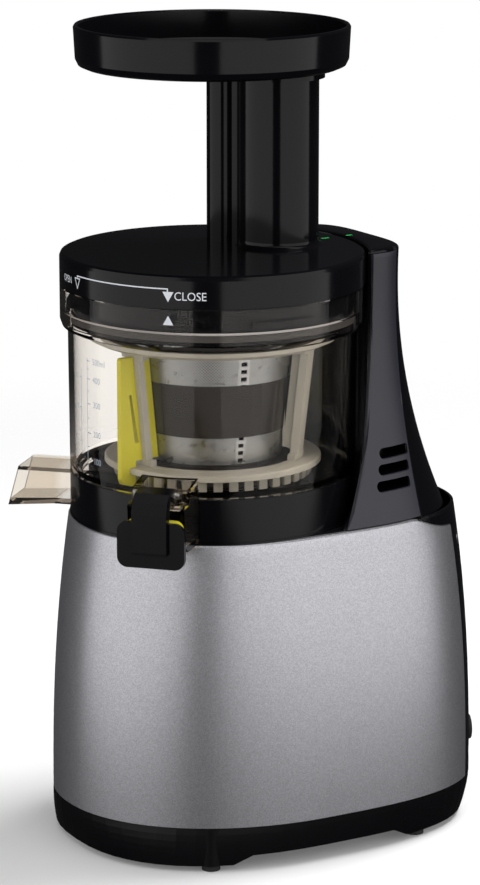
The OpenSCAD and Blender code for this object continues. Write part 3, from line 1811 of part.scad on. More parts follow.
module hopper_tray() {
  edge = 4;
  fit = chute_r + lid_wall + gap;
  color("#0d0d0f")
    difference() {
      union() {
        rotate_extrude()
          polygon([
            [0, tray_low], [tray_r - 1 - edge, tray_low], [tray_r - 1 - edge * 0.3, tray_low + edge * 0.3],
            [tray_r - 0.8, tray_low + edge], [tray_r, tray_top - 1], [tray_r - 0.6, tray_top],
            [tray_r - tray_wall + 0.4, tray_top], [tray_r - tray_wall, tray_top - 0.8],
            [tray_r - tray_wall - 0.8, tray_low + edge + tray_wall],
            [tray_r - tray_wall - edge - 1, tray_low + tray_wall], [0, tray_low + tray_wall]
          ]);
        translate([0, chute_y, tray_low - socket_h]) cylinder(r = fit, h = socket_h + 1);
      }
      translate([0, 0, tray_low - socket_h - 1])
        linear_extrude(height = socket_h + 1 + chute_top - tray_low) chute_outline(gap);
      translate([0, 0, tray_low - 1])
        linear_extrude(height = tray_wall + 2) chute_outline(-lid_wall);
    }
}

// ========================================

placed() body_shell();
placed() base_pan();
placed() rubber_feet();
placed() rear_cover();
placed() tower_housing();
placed() tower_side_left();
placed() tower_side_right();
placed() bowl_ring();
placed() translate([0, 0, deck_z - deck_t]) deck_plate();
placed() gearbox_housing();
placed() gearbox_cover();
placed() motor_stator();
placed() motor_windings();
placed() motor_lower_bracket();
placed() motor_upper_bracket();
placed() motor_rotor();
placed() cooling_fan();
placed() motor_pinion();
placed() intermediate_gear();
placed() intermediate_axle();
placed() output_gear();
placed() drive_shaft();
placed() shaft_bearings();
placed() rotor_bearings();
placed() shaft_seal();
placed() motor_dampers();
placed() control_board();
placed() run_capacitor();
placed() reed_switch();
placed() rocker_switch();
placed() switch_bezel();
placed() cord_gland();
placed() base_screws();
placed() cover_screws();
placed() juicing_bowl();
placed() bowl_seal();
placed() pulp_plug();
placed() idler_pin();
placed() idler_gear();
placed() cap_hinge_pin();
placed() juice_cap();
placed() juice_cap_seal();
placed() strainer_frame();
placed() strainer_mesh_upper();
placed() strainer_mesh_lower();
placed() brush_frame();
placed() wiper_blades();
placed() auger();
placed() auger_gear();
placed() auger_drive_socket();
placed() lid_gasket();
placed() lid();
placed() lid_bush();
placed() lid_magnet();
placed() hopper_tray();
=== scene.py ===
import json
import math

import bpy
import bmesh
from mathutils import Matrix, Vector

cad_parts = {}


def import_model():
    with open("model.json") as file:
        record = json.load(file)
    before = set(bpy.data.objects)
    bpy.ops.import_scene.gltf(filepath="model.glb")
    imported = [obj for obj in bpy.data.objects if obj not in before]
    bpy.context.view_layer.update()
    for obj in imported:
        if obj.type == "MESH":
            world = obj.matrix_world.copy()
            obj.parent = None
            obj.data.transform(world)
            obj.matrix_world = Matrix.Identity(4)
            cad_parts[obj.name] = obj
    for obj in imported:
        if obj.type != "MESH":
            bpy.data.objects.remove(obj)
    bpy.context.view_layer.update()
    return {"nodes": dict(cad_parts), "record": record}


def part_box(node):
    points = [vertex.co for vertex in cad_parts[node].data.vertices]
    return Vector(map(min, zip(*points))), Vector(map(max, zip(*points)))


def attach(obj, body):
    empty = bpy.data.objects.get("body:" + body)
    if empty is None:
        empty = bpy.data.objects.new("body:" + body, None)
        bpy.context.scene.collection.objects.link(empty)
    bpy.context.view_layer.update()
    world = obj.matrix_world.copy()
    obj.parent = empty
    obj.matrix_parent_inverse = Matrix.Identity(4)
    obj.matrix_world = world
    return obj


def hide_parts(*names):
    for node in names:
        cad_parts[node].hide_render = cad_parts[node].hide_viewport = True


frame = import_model()

# The scene is in metres. Shapes are given in millimetres about the bowl's axis, which the shaft
# seal shares, and metres() turns them into the scene's own. Angles are in degrees. Azimuths start
# at the machine's front (-Y) and grow towards +X; other angles start at +X and grow towards +Y.
MM = 0.001
NODES = frame["nodes"]
seal_lo, seal_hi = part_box("shaft_seal")
AXIS_X = (seal_lo.x + seal_hi.x) / 2
AXIS_Y = (seal_lo.y + seal_hi.y) / 2

# Camera, fitted to the photograph; distance and height in millimetres
CAM_AZIMUTH = 61.0
CAM_DISTANCE = 1653.7
CAM_HEIGHT = 583.44
CAM_PITCH = 13.233
CAM_YAW = 0.463
CAM_LENS = 140.89
SENSOR = 36.0


def sin_d(a):
    return math.sin(math.radians(a))


def cos_d(a):
    return math.cos(math.radians(a))


def spread(a, b, steps):
    """Evenly spaced values from a to b, both included."""
    return [a + (b - a) * i / steps for i in range(steps + 1)]


# ---------------------------------------------------------------- node helpers

def new_material(name):
    """A material with an empty node tree but for its output."""
    m = bpy.data.materials.new(name)
    m.use_nodes = True
    tree = m.node_tree
    tree.nodes.clear()
    out = tree.nodes.new("ShaderNodeOutputMaterial")
    return m, tree, out


def add(tree, kind, inputs=None, **props):
    """A node with its properties and input values set."""
    n = tree.nodes.new(kind)
    for k, v in props.items():
        setattr(n, k, v)
    for k, v in (inputs or {}).items():
        n.inputs[k].default_value = v
    return n


def link(tree, a, a_out, b, b_in):
    """Joins an output of node a to an input of node b."""
    tree.links.new(a.outputs[a_out], b.inputs[b_in])


def maths(tree, operation, *values):
    """Output of a math node; each value is a number or another node's output."""
    n = add(tree, "ShaderNodeMath", operation=operation)
    for i, v in enumerate(values):
        if isinstance(v, (int, float)):
            n.inputs[i].default_value = v
        else:
            tree.links.new(v, n.inputs[i])
    return n.outputs[0]


def noise(tree, scale, detail=4.0, rough=0.55, stretch=(1, 1, 1)):
    """Noise in object space, in periods per metre."""
    tc = add(tree, "ShaderNodeTexCoord")
    mp = add(tree, "ShaderNodeMapping")
    mp.inputs["Scale"].default_value = stretch
    link(tree, tc, "Object", mp, "Vector")
    n = add(tree, "ShaderNodeTexNoise", {"Scale": scale, "Detail": detail, "Roughness": rough})
    link(tree, mp, "Vector", n, "Vector")
    return n


def ranged(tree, source, out_name, low, high, from_low=0.3, from_high=0.7):
    """Source's output mapped from its middle range to low..high."""
    r = add(tree, "ShaderNodeMapRange",
            {"From Min": from_low, "From Max": from_high, "To Min": low, "To Max": high})
    link(tree, source, out_name, r, "Value")
    return r


def add_bump(tree, source, out_name, strength, distance, shader):
    """Small relief from source's output on a shader; distance in metres."""
    b = add(tree, "ShaderNodeBump", {"Strength": strength, "Distance": distance})
    link(tree, source, out_name, b, "Height")
    link(tree, b, "Normal", shader, "Normal")


def add_tint(tree, source, out_name, low, high, shader):
    """Gives a shader a base colour between low and high, by source's output."""
    mix = add(tree, "ShaderNodeMix", data_type="RGBA")
    mix.inputs["A"].default_value = (*low, 1)
    mix.inputs["B"].default_value = (*high, 1)
    link(tree, source, out_name, mix, "Factor")
    link(tree, mix, "Result", shader, "Base Color")


def mixed(tree, factor, first, second):
    """First shader where the factor, another node's output, is 0, and second where it is 1."""
    mix = add(tree, "ShaderNodeMixShader")
    tree.links.new(factor, mix.inputs["Fac"])
    link(tree, first, 0, mix, 1)
    link(tree, second, 0, mix, 2)
    return mix


# ---------------------------------------------------------------- kinds of material

CLOUD = 18.0                             # periods per metre of the uneven gloss of plastics


def plastic(name, color, rough, rough_spread=0.05, grain=900, bump=0.03, spec=0.5,
            tint_spread=0.12):
    """Moulded plastic: soft cloudy roughness, slight tint change and a fine grain."""
    m, t, out = new_material(name)
    b = add(t, "ShaderNodeBsdfPrincipled", {"Specular IOR Level": spec})
    cloud = noise(t, CLOUD, 5.0)
    r = ranged(t, cloud, "Fac", rough - rough_spread, rough + rough_spread)
    link(t, r, "Result", b, "Roughness")
    dark = [c * (1 - tint_spread) for c in color]
    light = [c * (1 + tint_spread) for c in color]
    add_tint(t, cloud, "Fac", dark, light, b)
    add_bump(t, noise(t, grain, 2.0), "Fac", bump, 0.0004, b)
    link(t, b, "BSDF", out, "Surface")
    return m


def ink(name, color):
    """Printed ink: flat colour with slightly uneven cover."""
    return plastic(name, color, 0.5, grain=3000, bump=0.02, tint_spread=0.06)


def silver_paint():
    """Metallic paint: flakes that differ in brightness, gloss and tilt, under a clear coat."""
    m, t, out = new_material("silver_flake_paint")
    b = add(t, "ShaderNodeBsdfPrincipled", {"Metallic": 0.86, "Specular IOR Level": 0.5,
                                            "Coat Weight": 0.1, "Coat Roughness": 0.2})
    tc = add(t, "ShaderNodeTexCoord")
    flakes = add(t, "ShaderNodeTexVoronoi", {"Scale": 2600.0})
    link(t, tc, "Object", flakes, "Vector")
    flake = add(t, "ShaderNodeSeparateColor")
    link(t, flakes, "Color", flake, "Color")
    ramp = add(t, "ShaderNodeValToRGB")
    dark, light = ramp.color_ramp.elements
    dark.position, dark.color = 0.0, (0.37, 0.368, 0.388, 1)
    light.position, light.color = 1.0, (0.53, 0.528, 0.562, 1)
    link(t, flake, "Red", ramp, "Fac")
    link(t, ramp, "Color", b, "Base Color")
    r = ranged(t, flake, "Green", 0.3, 0.4, 0.0, 1.0)
    link(t, r, "Result", b, "Roughness")
    add_bump(t, flake, "Blue", 0.05, 0.0001, b)
    link(t, b, "BSDF", out, "Surface")
    return m


def metal(name, color, rough, brushed=(1, 1, 1), scale=400):
    """Bare metal with uneven gloss; brushed stretches the pattern along the axes."""
    m, t, out = new_material(name)
    b = add(t, "ShaderNodeBsdfPrincipled", {"Metallic": 1.0})
    n = noise(t, scale, 3.0, stretch=brushed)
    r = ranged(t, n, "Fac", rough * 0.75, rough * 1.3)
    link(t, r, "Result", b, "Roughness")
    add_tint(t, n, "Fac", [c * 0.85 for c in color], color, b)
    add_bump(t, n, "Fac", 0.04, 0.0003, b)
    link(t, b, "BSDF", out, "Surface")
    return m


SPOUT_FROM, SPOUT_TO = 74.5, 79.0        # from the bowl's axis, where the spouts' tint sets in


def past_wall(tree):
    """Node whose result is 0 within the bowl's wall and 1 in the spouts beyond it."""
    tc = add(tree, "ShaderNodeTexCoord")
    centred = add(tree, "ShaderNodeVectorMath", operation="SUBTRACT")
    centred.inputs[1].default_value = (AXIS_X, AXIS_Y, 0)
    link(tree, tc, "Object", centred, 0)
    flat = add(tree, "ShaderNodeVectorMath", operation="MULTIPLY")
    flat.inputs[1].default_value = (1, 1, 0)
    link(tree, centred, 0, flat, 0)
    radius = add(tree, "ShaderNodeVectorMath", operation="LENGTH")
    link(tree, flat, 0, radius, 0)
    far = add(tree, "ShaderNodeMapRange", {"From Min": SPOUT_FROM * MM, "From Max": SPOUT_TO * MM})
    link(tree, radius, "Value", far, "Value")
    return far


def clear_plastic(name, color, spout, rough, ior, density, deep, spec):
    """See-through moulded plastic with faint waves and a browner tint in the spouts.

    The density and the deep colour darken long paths through it."""
    m, t, out = new_material(name)
    b = add(t, "ShaderNodeBsdfPrincipled", {"Transmission Weight": 1.0, "IOR": ior,
                                            "Specular IOR Level": spec})
    add_tint(t, past_wall(t), "Result", color, spout, b)
    n = noise(t, 60, 3.0)
    r = ranged(t, n, "Fac", rough, rough + 0.02)
    link(t, r, "Result", b, "Roughness")
    add_bump(t, n, "Fac", 0.015, 0.0005, b)
    ray = add(t, "ShaderNodeLightPath")
    shade = add(t, "ShaderNodeBsdfTransparent", {"Color": (*[c * 0.94 for c in color], 1)})
    link(t, mixed(t, ray.outputs["Is Shadow Ray"], b, shade), 0, out, "Surface")
    depth = add(t, "ShaderNodeVolumeAbsorption", {"Color": (*deep, 1), "Density": density})
    link(t, depth, "Volume", out, "Volume")
    return m


# Strainer sheet, in millimetres
MESH_R = 37.5                            # radius at which the pitches are measured
HOLE_PITCH, HOLE = 1.4, 0.78             # round holes in staggered rows
SLOT_ANGLES = (-6.7, 113.3, 233.3)       # columns of oblong slots, each in a plain strip
SLOT_PITCH, SLOT_SHARE = 3.7, 0.55       # spacing of the slots and the share that is open
SLOT_HALF, STRIP_HALF = 1.5, 2.6         # half widths of a slot and of its strip


def perforated(name, color, rough):
    """Steel sheet round the bowl's axis with staggered round holes and columns of slots."""
    m, t, out = new_material(name)
    tc = add(t, "ShaderNodeTexCoord")
    sep = add(t, "ShaderNodeSeparateXYZ")
    link(t, tc, "Object", sep, "Vector")
    x, y, z = sep.outputs
    angle = maths(t, "ARCTAN2", maths(t, "SUBTRACT", y, AXIS_Y), x)

    # Place in a cell of the staggered grid, from its middle
    along = maths(t, "MULTIPLY", angle, MESH_R / HOLE_PITCH)
    up = maths(t, "MULTIPLY", z, 1 / (HOLE_PITCH * MM * 0.5))
    stagger = maths(t, "MULTIPLY", maths(t, "MODULO", maths(t, "FLOOR", up), 2.0), 0.5)
    u = maths(t, "SUBTRACT", maths(t, "FRACT", maths(t, "ADD", along, stagger)), 0.5)
    v = maths(t, "MULTIPLY", maths(t, "SUBTRACT", maths(t, "FRACT", up), 0.5), 0.5)
    squares = maths(t, "ADD", maths(t, "MULTIPLY", u, u), maths(t, "MULTIPLY", v, v))
    mask = maths(t, "LESS_THAN", maths(t, "SQRT", squares), HOLE / HOLE_PITCH / 2)

    rows = maths(t, "FRACT", maths(t, "DIVIDE", z, SLOT_PITCH * MM))
    in_row = maths(t, "LESS_THAN", rows, SLOT_SHARE)
    for column in SLOT_ANGLES:
        turned = maths(t, "SUBTRACT", angle, math.radians((column + 180) % 360 - 180))
        off = maths(t, "MULTIPLY", maths(t, "ABSOLUTE", turned), MESH_R)
        plain = maths(t, "GREATER_THAN", off, STRIP_HALF)
        slot = maths(t, "MULTIPLY", maths(t, "LESS_THAN", off, SLOT_HALF), in_row)
        mask = maths(t, "MAXIMUM", maths(t, "MULTIPLY", mask, plain), slot)

    b = add(t, "ShaderNodeBsdfPrincipled", {"Metallic": 1.0, "Base Color": (*color, 1)})
    r = ranged(t, noise(t, 300, 3.0), "Fac", rough * 0.8, rough * 1.3)
    link(t, r, "Result", b, "Roughness")
    hole = add(t, "ShaderNodeBsdfTransparent")
    link(t, mixed(t, mask, b, hole), 0, out, "Surface")
    return m


# ---------------------------------------------------------------- materials

GLOSS = plastic("gloss_black_plastic", (0.003, 0.003, 0.0038), 0.13, 0.03, grain=1400,
                bump=0.012, spec=0.2)
SATIN = plastic("satin_black_plastic", (0.0035, 0.0033, 0.004), 0.3, 0.06, grain=1600,
                bump=0.06, spec=0.16)
CAP = plastic("polished_black_plastic", (0.003, 0.003, 0.0038), 0.14, 0.04, grain=1400,
              bump=0.02, spec=0.09)
PANEL = plastic("satin_grey_panel", (0.016, 0.016, 0.023), 0.4, grain=2200, bump=0.12)
RUBBER = plastic("black_rubber", (0.015, 0.015, 0.015), 0.75, 0.08, grain=1200, bump=0.15)
IVORY = plastic("ivory_plastic", (0.36, 0.335, 0.28), 0.38, bump=0.04)
YELLOW = plastic("yellow_silicone", (0.52, 0.47, 0.01), 0.42, 0.06, grain=700, bump=0.06)
GREY_SILICONE = plastic("grey_silicone", (0.035, 0.033, 0.033), 0.5, grain=700, bump=0.05)
WHITE = plastic("natural_acetal", (0.72, 0.69, 0.6), 0.4, grain=700, bump=0.04)
BOARD = plastic("green_board", (0.03, 0.14, 0.06), 0.45, grain=400, bump=0.05)
SMOKY_DARK = plastic("dark_smoky_plastic", (0.02, 0.017, 0.015), 0.15, grain=700, bump=0.02)
SILVER = silver_paint()
STEEL = metal("machined_steel", (0.58, 0.59, 0.61), 0.28, (1, 1, 20))
CAST = metal("cast_aluminium", (0.6, 0.61, 0.63), 0.48, scale=250)
COPPER = metal("enamelled_copper", (0.68, 0.3, 0.12), 0.3, (1, 1, 30))
BRONZE = metal("sintered_bronze", (0.55, 0.36, 0.14), 0.45)
SMOKY = clear_plastic("smoky_clear_plastic", (0.988, 0.984, 0.978), spout=(0.86, 0.81, 0.74),
                      rough=0.01, ior=1.18, density=40.0, deep=(0.75, 0.6, 0.4), spec=0.2)
MESH = perforated("perforated_steel", (0.62, 0.62, 0.61), 0.3)

# Material of each slot in the record
LOOKS = {
    "silver_paint": SILVER, "gloss_black": GLOSS, "black_plastic": SATIN, "grey_plastic": PANEL,
    "rubber": RUBBER, "cast_aluminium": CAST, "steel": STEEL, "copper_wire": COPPER,
    "white_plastic": WHITE, "light_plastic": GREY_SILICONE, "bronze": BRONZE, "board": BOARD,
    "smoky_clear": SMOKY, "silicone": GREY_SILICONE, "yellow_silicone": YELLOW,
    "smoky_frame": SMOKY_DARK, "mesh_steel": MESH, "ivory_plastic": IVORY,
}

# Pieces whose finish differs from the rest of their slot
OWN_LOOKS = {"juice_cap": CAP}


def dress_solids():
    """Gives each CAD piece the material of its slot."""
    for sub in frame["record"]["subparts"]:
        piece = NODES[sub["node"]]
        piece.data.materials.clear()
        look = OWN_LOOKS.get(sub["node"], LOOKS[sub["material_slot"]])
        piece.data.materials.append(look)


# ---------------------------------------------------------------- mesh helpers

def metres(points):
    """Points in millimetres about the bowl's axis, in the scene's metres."""
    return [(AXIS_X + x * MM, AXIS_Y + y * MM, z * MM) for x, y, z in points]


def linked(name, data):
    """An object of some data, in the scene."""
    o = bpy.data.objects.new(name, data)
    bpy.context.scene.collection.objects.link(o)
    return o


def mesh_object(name, points, faces, material, body, sharp=32.0, stands_for=(), slot=None):
    """A smooth-shaded piece with edges kept sharp past an angle, riding on a body."""
    me = bpy.data.meshes.new(name)
    me.from_pydata(metres(points), [], faces)
    bm = bmesh.new()
    bm.from_mesh(me)
    bmesh.ops.remove_doubles(bm, verts=bm.verts, dist=1e-7)
    bmesh.ops.recalc_face_normals(bm, faces=bm.faces)
    limit = math.radians(sharp)
    for f in bm.faces:
        f.smooth = True
    for e in bm.edges:
        if len(e.link_faces) == 2 and e.calc_face_angle(0.0) > limit:
            e.smooth = False
    bm.to_mesh(me)
    bm.free()
    me.materials.append(material)
    o = linked(name, me)
    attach(o, body)
    if stands_for:
        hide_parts(*stands_for)
    return o


def swept(name, columns, material, body, **kw):
    """Joins columns of points, each one closed profile, side by side, with end faces."""
    n, m = len(columns[0]), len(columns)
    points = [p for c in columns for p in c]
    faces = [(j * n + i, (j + 1) * n + i, (j + 1) * n + (i + 1) % n, j * n + (i + 1) % n)
             for j in range(m - 1) for i in range(n)]
    faces.append(tuple(range(n)))
    faces.append(tuple((m - 1) * n + i for i in reversed(range(n))))
    return mesh_object(name, points, faces, material, body, **kw)


def stacked(name, rings, material, body, **kw):
    """Joins closed rings of points from the bottom to the top, with end faces."""
    n, m = len(rings[0]), len(rings)
    points = [p for r in rings for p in r]
    faces = [(j * n + i, j * n + (i + 1) % n, (j + 1) * n + (i + 1) % n, (j + 1) * n + i)
             for j in range(m - 1) for i in range(n)]
    faces.append(tuple(reversed(range(n))))
    faces.append(tuple((m - 1) * n + i for i in range(n)))
    return mesh_object(name, points, faces, material, body, **kw)


def rounded_edge(top, r, steps):
    """Pairs of height and inset over an outer edge of radius r that ends level at the top."""
    return [(top - r + r * sin_d(a), r - r * cos_d(a)) for a in spread(0, 90, steps)[1:]]


def frozen_mesh(obj):
    """Copy of an object's mesh with its curves and modifiers worked out."""
    bpy.context.view_layer.update()
    seen = obj.evaluated_get(bpy.context.evaluated_depsgraph_get())
    return bpy.data.meshes.new_from_object(seen)


def cut_away(obj, cutters):
    """Cuts closed meshes out of a piece for good, and keeps its smooth shading."""
    for c in cutters:
        mod = obj.modifiers.new("cut", "BOOLEAN")
        mod.object = c
        mod.solver = "EXACT"
    done = frozen_mesh(obj)
    obj.modifiers.clear()
    obj.data = done
    for c in cutters:
        bpy.data.objects.remove(c)


# ---------------------------------------------------------------- silver body

PAN_TOP, DECK_Z = 22.0, 161.0            # heights of the silver body's lower and upper edge
BODY_W, BODY_TOP_W = 161.0, 144.0
BODY_FRONT, BODY_TOP_FRONT = 80.7, 70.5
BODY_REAR, BODY_TOP_REAR = 129.5, 121.7
REAR_OPEN = 41.0                         # half angle of the opening that the rear cover closes
FRONT_POWER, BODY_REAR_POWER = 2.1, 3.0  # powers of the outline's ovals, 2 being an ellipse
DROP_FROM, DROP_LENGTH = 76, 15          # y past which the upper edge drops, and how fast
DROP = 9                                 # the whole drop
SHELL_WALL, SHELL_EDGE = 2.6, 1.3        # wall and radius of the upper edge
PAN_SEAM = 0.25                          # above the base pan
REAR_SEAM = 0.3                          # to the rear cover, in degrees


def signed_pow(v, p):
    return math.copysign(abs(v) ** p, v)


def oval_pt(t, half, mid, front, rear, rear_power):
    """Point at angle t on an outline of two half ovals that meet at y = mid."""
    s, c = sin_d(t), cos_d(t)
    p = FRONT_POWER if s < 0 else rear_power
    b = mid - front if s < 0 else rear - mid
    return half * signed_pow(c, 2 / p), mid + b * signed_pow(s, 2 / p)


def rise(z):
    """0 at the silver body's lower edge, 1 at the deck."""
    return (z - PAN_TOP) / (DECK_Z - PAN_TOP)


def body_pt(t, z, inset=0.0):
    """Point of the silver body's outside at angle t and height z."""
    k = rise(z) ** 2.2
    half = BODY_W / 2 + (BODY_TOP_W - BODY_W) / 2 * k - inset
    front = -BODY_FRONT + (BODY_FRONT - BODY_TOP_FRONT) * k + inset
    rear = BODY_REAR - (BODY_REAR - BODY_TOP_REAR) * rise(z) ** 2.4 - inset
    mid = 20 - 12 * rise(z) ** 2
    return oval_pt(t, half, mid, front, rear, BODY_REAR_POWER)


def silver_top(t):
    """Height of the silver body's upper edge at angle t."""
    d = max(0.0, body_pt(t, DECK_Z)[1] - DROP_FROM) / DROP_LENGTH
    return DECK_Z - DROP * (1 - math.exp(-d ** 1.5))


def body_shell():
    """Silver wrap round the front and sides, with a rounded upper edge."""
    cols = []
    low = PAN_TOP + PAN_SEAM
    for t in spread(REAR_OPEN - 270 - REAR_SEAM, 90 + REAR_SEAM - REAR_OPEN, 150):
        high = silver_top(t)
        rows = [(low, 0.0)] + [(z, 0.0) for z in spread(low + 0.5, high - SHELL_EDGE, 30)]
        rows += rounded_edge(high, SHELL_EDGE, 4)
        rows += [(high, SHELL_WALL), (high - 8, SHELL_WALL), (low, SHELL_WALL)]
        cols.append([(*body_pt(t, z, i), z) for z, i in rows])
    swept("silver_body", cols, SILVER, "motor_base", stands_for=("body_shell",),
          slot="silver_paint")


SHOULDER_EDGE, SHOULDER_DEPTH, SHOULDER_SKIN = 1.4, 14.0, 3.0


def deck_shoulder():
    """Black shoulder between the tower's foot and the dropped rear edge of the silver body."""
    cols = []
    for t in spread(29, 151, 80):
        low = silver_top(t) + 0.15
        rows = [(z, 0.0) for z in spread(low, DECK_Z - SHOULDER_EDGE, 8)]
        rows += rounded_edge(DECK_Z, SHOULDER_EDGE, 3)
        rows += [(DECK_Z, SHOULDER_DEPTH), (low - 3, SHOULDER_DEPTH),
                 (low - 3, SHOULDER_SKIN), (low, SHOULDER_SKIN)]
        cols.append([(*body_pt(t, z, i), z) for z, i in rows])
    swept("deck_shoulder", cols, GLOSS, "motor_base")


# ---------------------------------------------------------------- tower

TOWER_TOP = 291.0
TOWER_TOP_W, TOWER_FOOT_W = 87.0, BODY_TOP_W - 3
TOWER_TOP_REAR, TOWER_FOOT_REAR = 89.5, 115.0
TOWER_EDGE = 1.6                         # radius of the upper edge
CONCAVE_R = 75.4                         # of the hollow front, about the bowl's axis
PANEL_REAR = 81.0                        # y at which the side panels end
PANEL_SEAT, PANEL_WALL = 1.4, 1.3        # depth of the panels' seat in the tower, and their wall
PANEL_COLS, PANEL_ROWS = 24, 60
VENTS = [(61, 80, 193.2), (59, 79, 185.7), (56.5, 78, 178.2)]   # y from, y to and height
VENT_H, VENT_CORNER = 5.2, 1.5
VENT_X = (40, 90)                        # reach of the vents' cutters to each side


def fall(z):
    """0 at the tower's top, 1 at its foot."""
    return (TOWER_TOP - z) / (TOWER_TOP - DECK_Z)


def tower_half(z):
    return TOWER_TOP_W / 2 + (TOWER_FOOT_W - TOWER_TOP_W) / 2 * fall(z) ** 2.2


def tower_mid(z):
    return 50 - 30 * fall(z)


def tower_rear(z):
    return TOWER_TOP_REAR + (TOWER_FOOT_REAR - TOWER_TOP_REAR) * fall(z) ** 2.2


def tower_power(z):
    return 4 - fall(z)


def tower_pt(t, z, inset):
    """Point of the tower's outside at angle t and height z."""
    return oval_pt(t, tower_half(z) - inset, tower_mid(z), 0, tower_rear(z) - inset,
                   tower_power(z))


def tower_angle(y, z, inset):
    """Angle at which the tower's outside reaches y."""
    share = (y - tower_mid(z)) / (tower_rear(z) - inset - tower_mid(z))
    return math.degrees(math.asin(min(1.0, max(1e-4, share)) ** (tower_power(z) / 2)))


def tower_first(z, inset):
    """Angle at which the tower's outside meets the hollow front."""
    half = tower_half(z) - inset
    r = CONCAVE_R + inset
    return tower_angle(math.sqrt(r * r - half * half), z, inset)


def tower_ring(z, inset):
    """Closed outline of the tower: round the back from +X to -X, then along the hollow front."""
    seat = inset + PANEL_SEAT
    last = tower_angle(PANEL_REAR, z, inset)
    side = [tower_pt(t, z, seat) for t in spread(tower_first(z, seat), last, 14)]
    rear = [tower_pt(t, z, inset) for t in spread(last + 0.3, 179.7 - last, 40)]
    r = CONCAVE_R + inset
    corner = math.degrees(math.acos((tower_half(z) - inset - PANEL_SEAT) / r))
    front = [(r * cos_d(a), r * sin_d(a)) for a in spread(180 - corner, corner, 48)[1:-1]]
    return side + rear + [(-x, y) for x, y in reversed(side)] + front


def vent_cutter(side, y0, y1, z):
    """Closed bar along X through one vent: round in front, with small corners behind."""
    r, c = VENT_H / 2, VENT_CORNER
    loop = [(y0 + r + r * cos_d(a), z + r * sin_d(a)) for a in spread(90, 270, 12)]
    loop += [(y1 - c + c * cos_d(a), z - r + c + c * sin_d(a)) for a in spread(-90, 0, 5)]
    loop += [(y1 - c + c * cos_d(a), z + r - c + c * sin_d(a)) for a in spread(0, 90, 5)]
    rings = [[(side * x, y, h) for y, h in loop] for x in VENT_X]
    if side < 0:
        rings.reverse()
    n = len(loop)
    faces = [(i, (i + 1) % n, n + (i + 1) % n, n + i) for i in range(n)]
    faces += [tuple(reversed(range(n))), tuple(n + i for i in range(n))]
    me = bpy.data.meshes.new("cutter")
    me.from_pydata(metres(rings[0] + rings[1]), [], faces)
    bm = bmesh.new()
    bm.from_mesh(me)
    bmesh.ops.recalc_face_normals(bm, faces=bm.faces)
    bm.to_mesh(me)
    bm.free()
    return linked("cutter", me)


def tower_core():
    """Glossy tower with a rounded upper edge and seats for the side panels."""
    rings = [[(x, y, z) for x, y in tower_ring(z, 0.0)]
             for z in spread(DECK_Z, TOWER_TOP - TOWER_EDGE, 60)]
    rings += [[(x, y, z) for x, y in tower_ring(TOWER_TOP - 1.0, inset)]
              for z, inset in rounded_edge(TOWER_TOP, TOWER_EDGE, 4)]
    core = stacked("tower_core", rings, GLOSS, "motor_base", stands_for=("tower_housing",),
                   slot="gloss_black")
    cut_away(core, [vent_cutter(side, *v) for side in (1, -1) for v in VENTS])


def tower_panel(side, name):
    """Satin panel in its seat on one side of the tower, with three vents."""
    heights = spread(DECK_Z + 0.5, TOWER_TOP - 2.2, PANEL_ROWS)
    cols = []
    for share in spread(0, 1, PANEL_COLS):
        face = []
        for z in heights:
            first = tower_first(z, PANEL_SEAT) + 0.3
            last = tower_angle(PANEL_REAR, z, 0) - 0.1
            face.append((z, first + (last - first) * share, 0.0))
        top, t = heights[-1], face[-1][1]
        edge = [(top + 0.25, t, 0.1), (top + 0.4, t, 0.4)]
        back = [(z, a, PANEL_WALL) for z, a, _ in reversed(face)]
        points = [(*tower_pt(a, z, i), z) for z, a, i in face + edge + back]
        cols.append([(side * x, y, z) for x, y, z in points])
    panel = swept(f"tower_panel_{name}", cols, PANEL, "motor_base",
                  stands_for=(f"tower_side_{name}",), slot="grey_plastic")
    cut_away(panel, [vent_cutter(side, *v) for v in VENTS])


# ---------------------------------------------------------------- prints on round walls

LID_R, COLLAR_R = 74.2, 74.2
LID_TOP = 290.7
PRINT_LIFT = 0.06                        # of the prints off the lid and the collar
SCALE_LIFT = 0.08                        # off the bowl
CLOSE_AZIMUTH = 44.8                     # of the arrows that meet when the lid is closed
OPEN_AZIMUTH = 1.4
SCALE_AZIMUTH = 2.6                      # the millilitres' line; the ounces' is its mirror
CAP_HEIGHT = 1.45                        # font size for each millimetre of letter height


def bowl_radius(z):
    """Outer radius of the bowl's wall, which flares a little."""
    return 69.9 + 0.5 * (z - 183.4) / 70.6


def wrapped(name, flat_points, faces, radius, azimuth, height, material, body):
    """Wraps flat points, x to the reader's right and z up, onto a wall about the bowl's axis."""
    points = []
    for x, z in flat_points:
        a = math.radians(azimuth) + x / radius
        points.append((radius * math.sin(a), -radius * math.cos(a), height + z))
    return mesh_object(name, points, faces, material, body, sharp=180)


def word(name, text, size, *place, bold=0.0, squeeze=1.0):
    """Printed word; size is the letter height, place as wrapped() takes it."""
    c = bpy.data.curves.new(name, "FONT")
    c.body = text
    c.size = size * CAP_HEIGHT
    c.offset = bold
    c.resolution_u = 3
    c.align_x = "LEFT"
    o = linked(name, c)
    me = frozen_mesh(o)
    flat = [(v.co.x * squeeze, v.co.y) for v in me.vertices]
    faces = [tuple(p.vertices) for p in me.polygons]
    bpy.data.objects.remove(o)
    bpy.data.meshes.remove(me)
    return wrapped(name, flat, faces, *place)


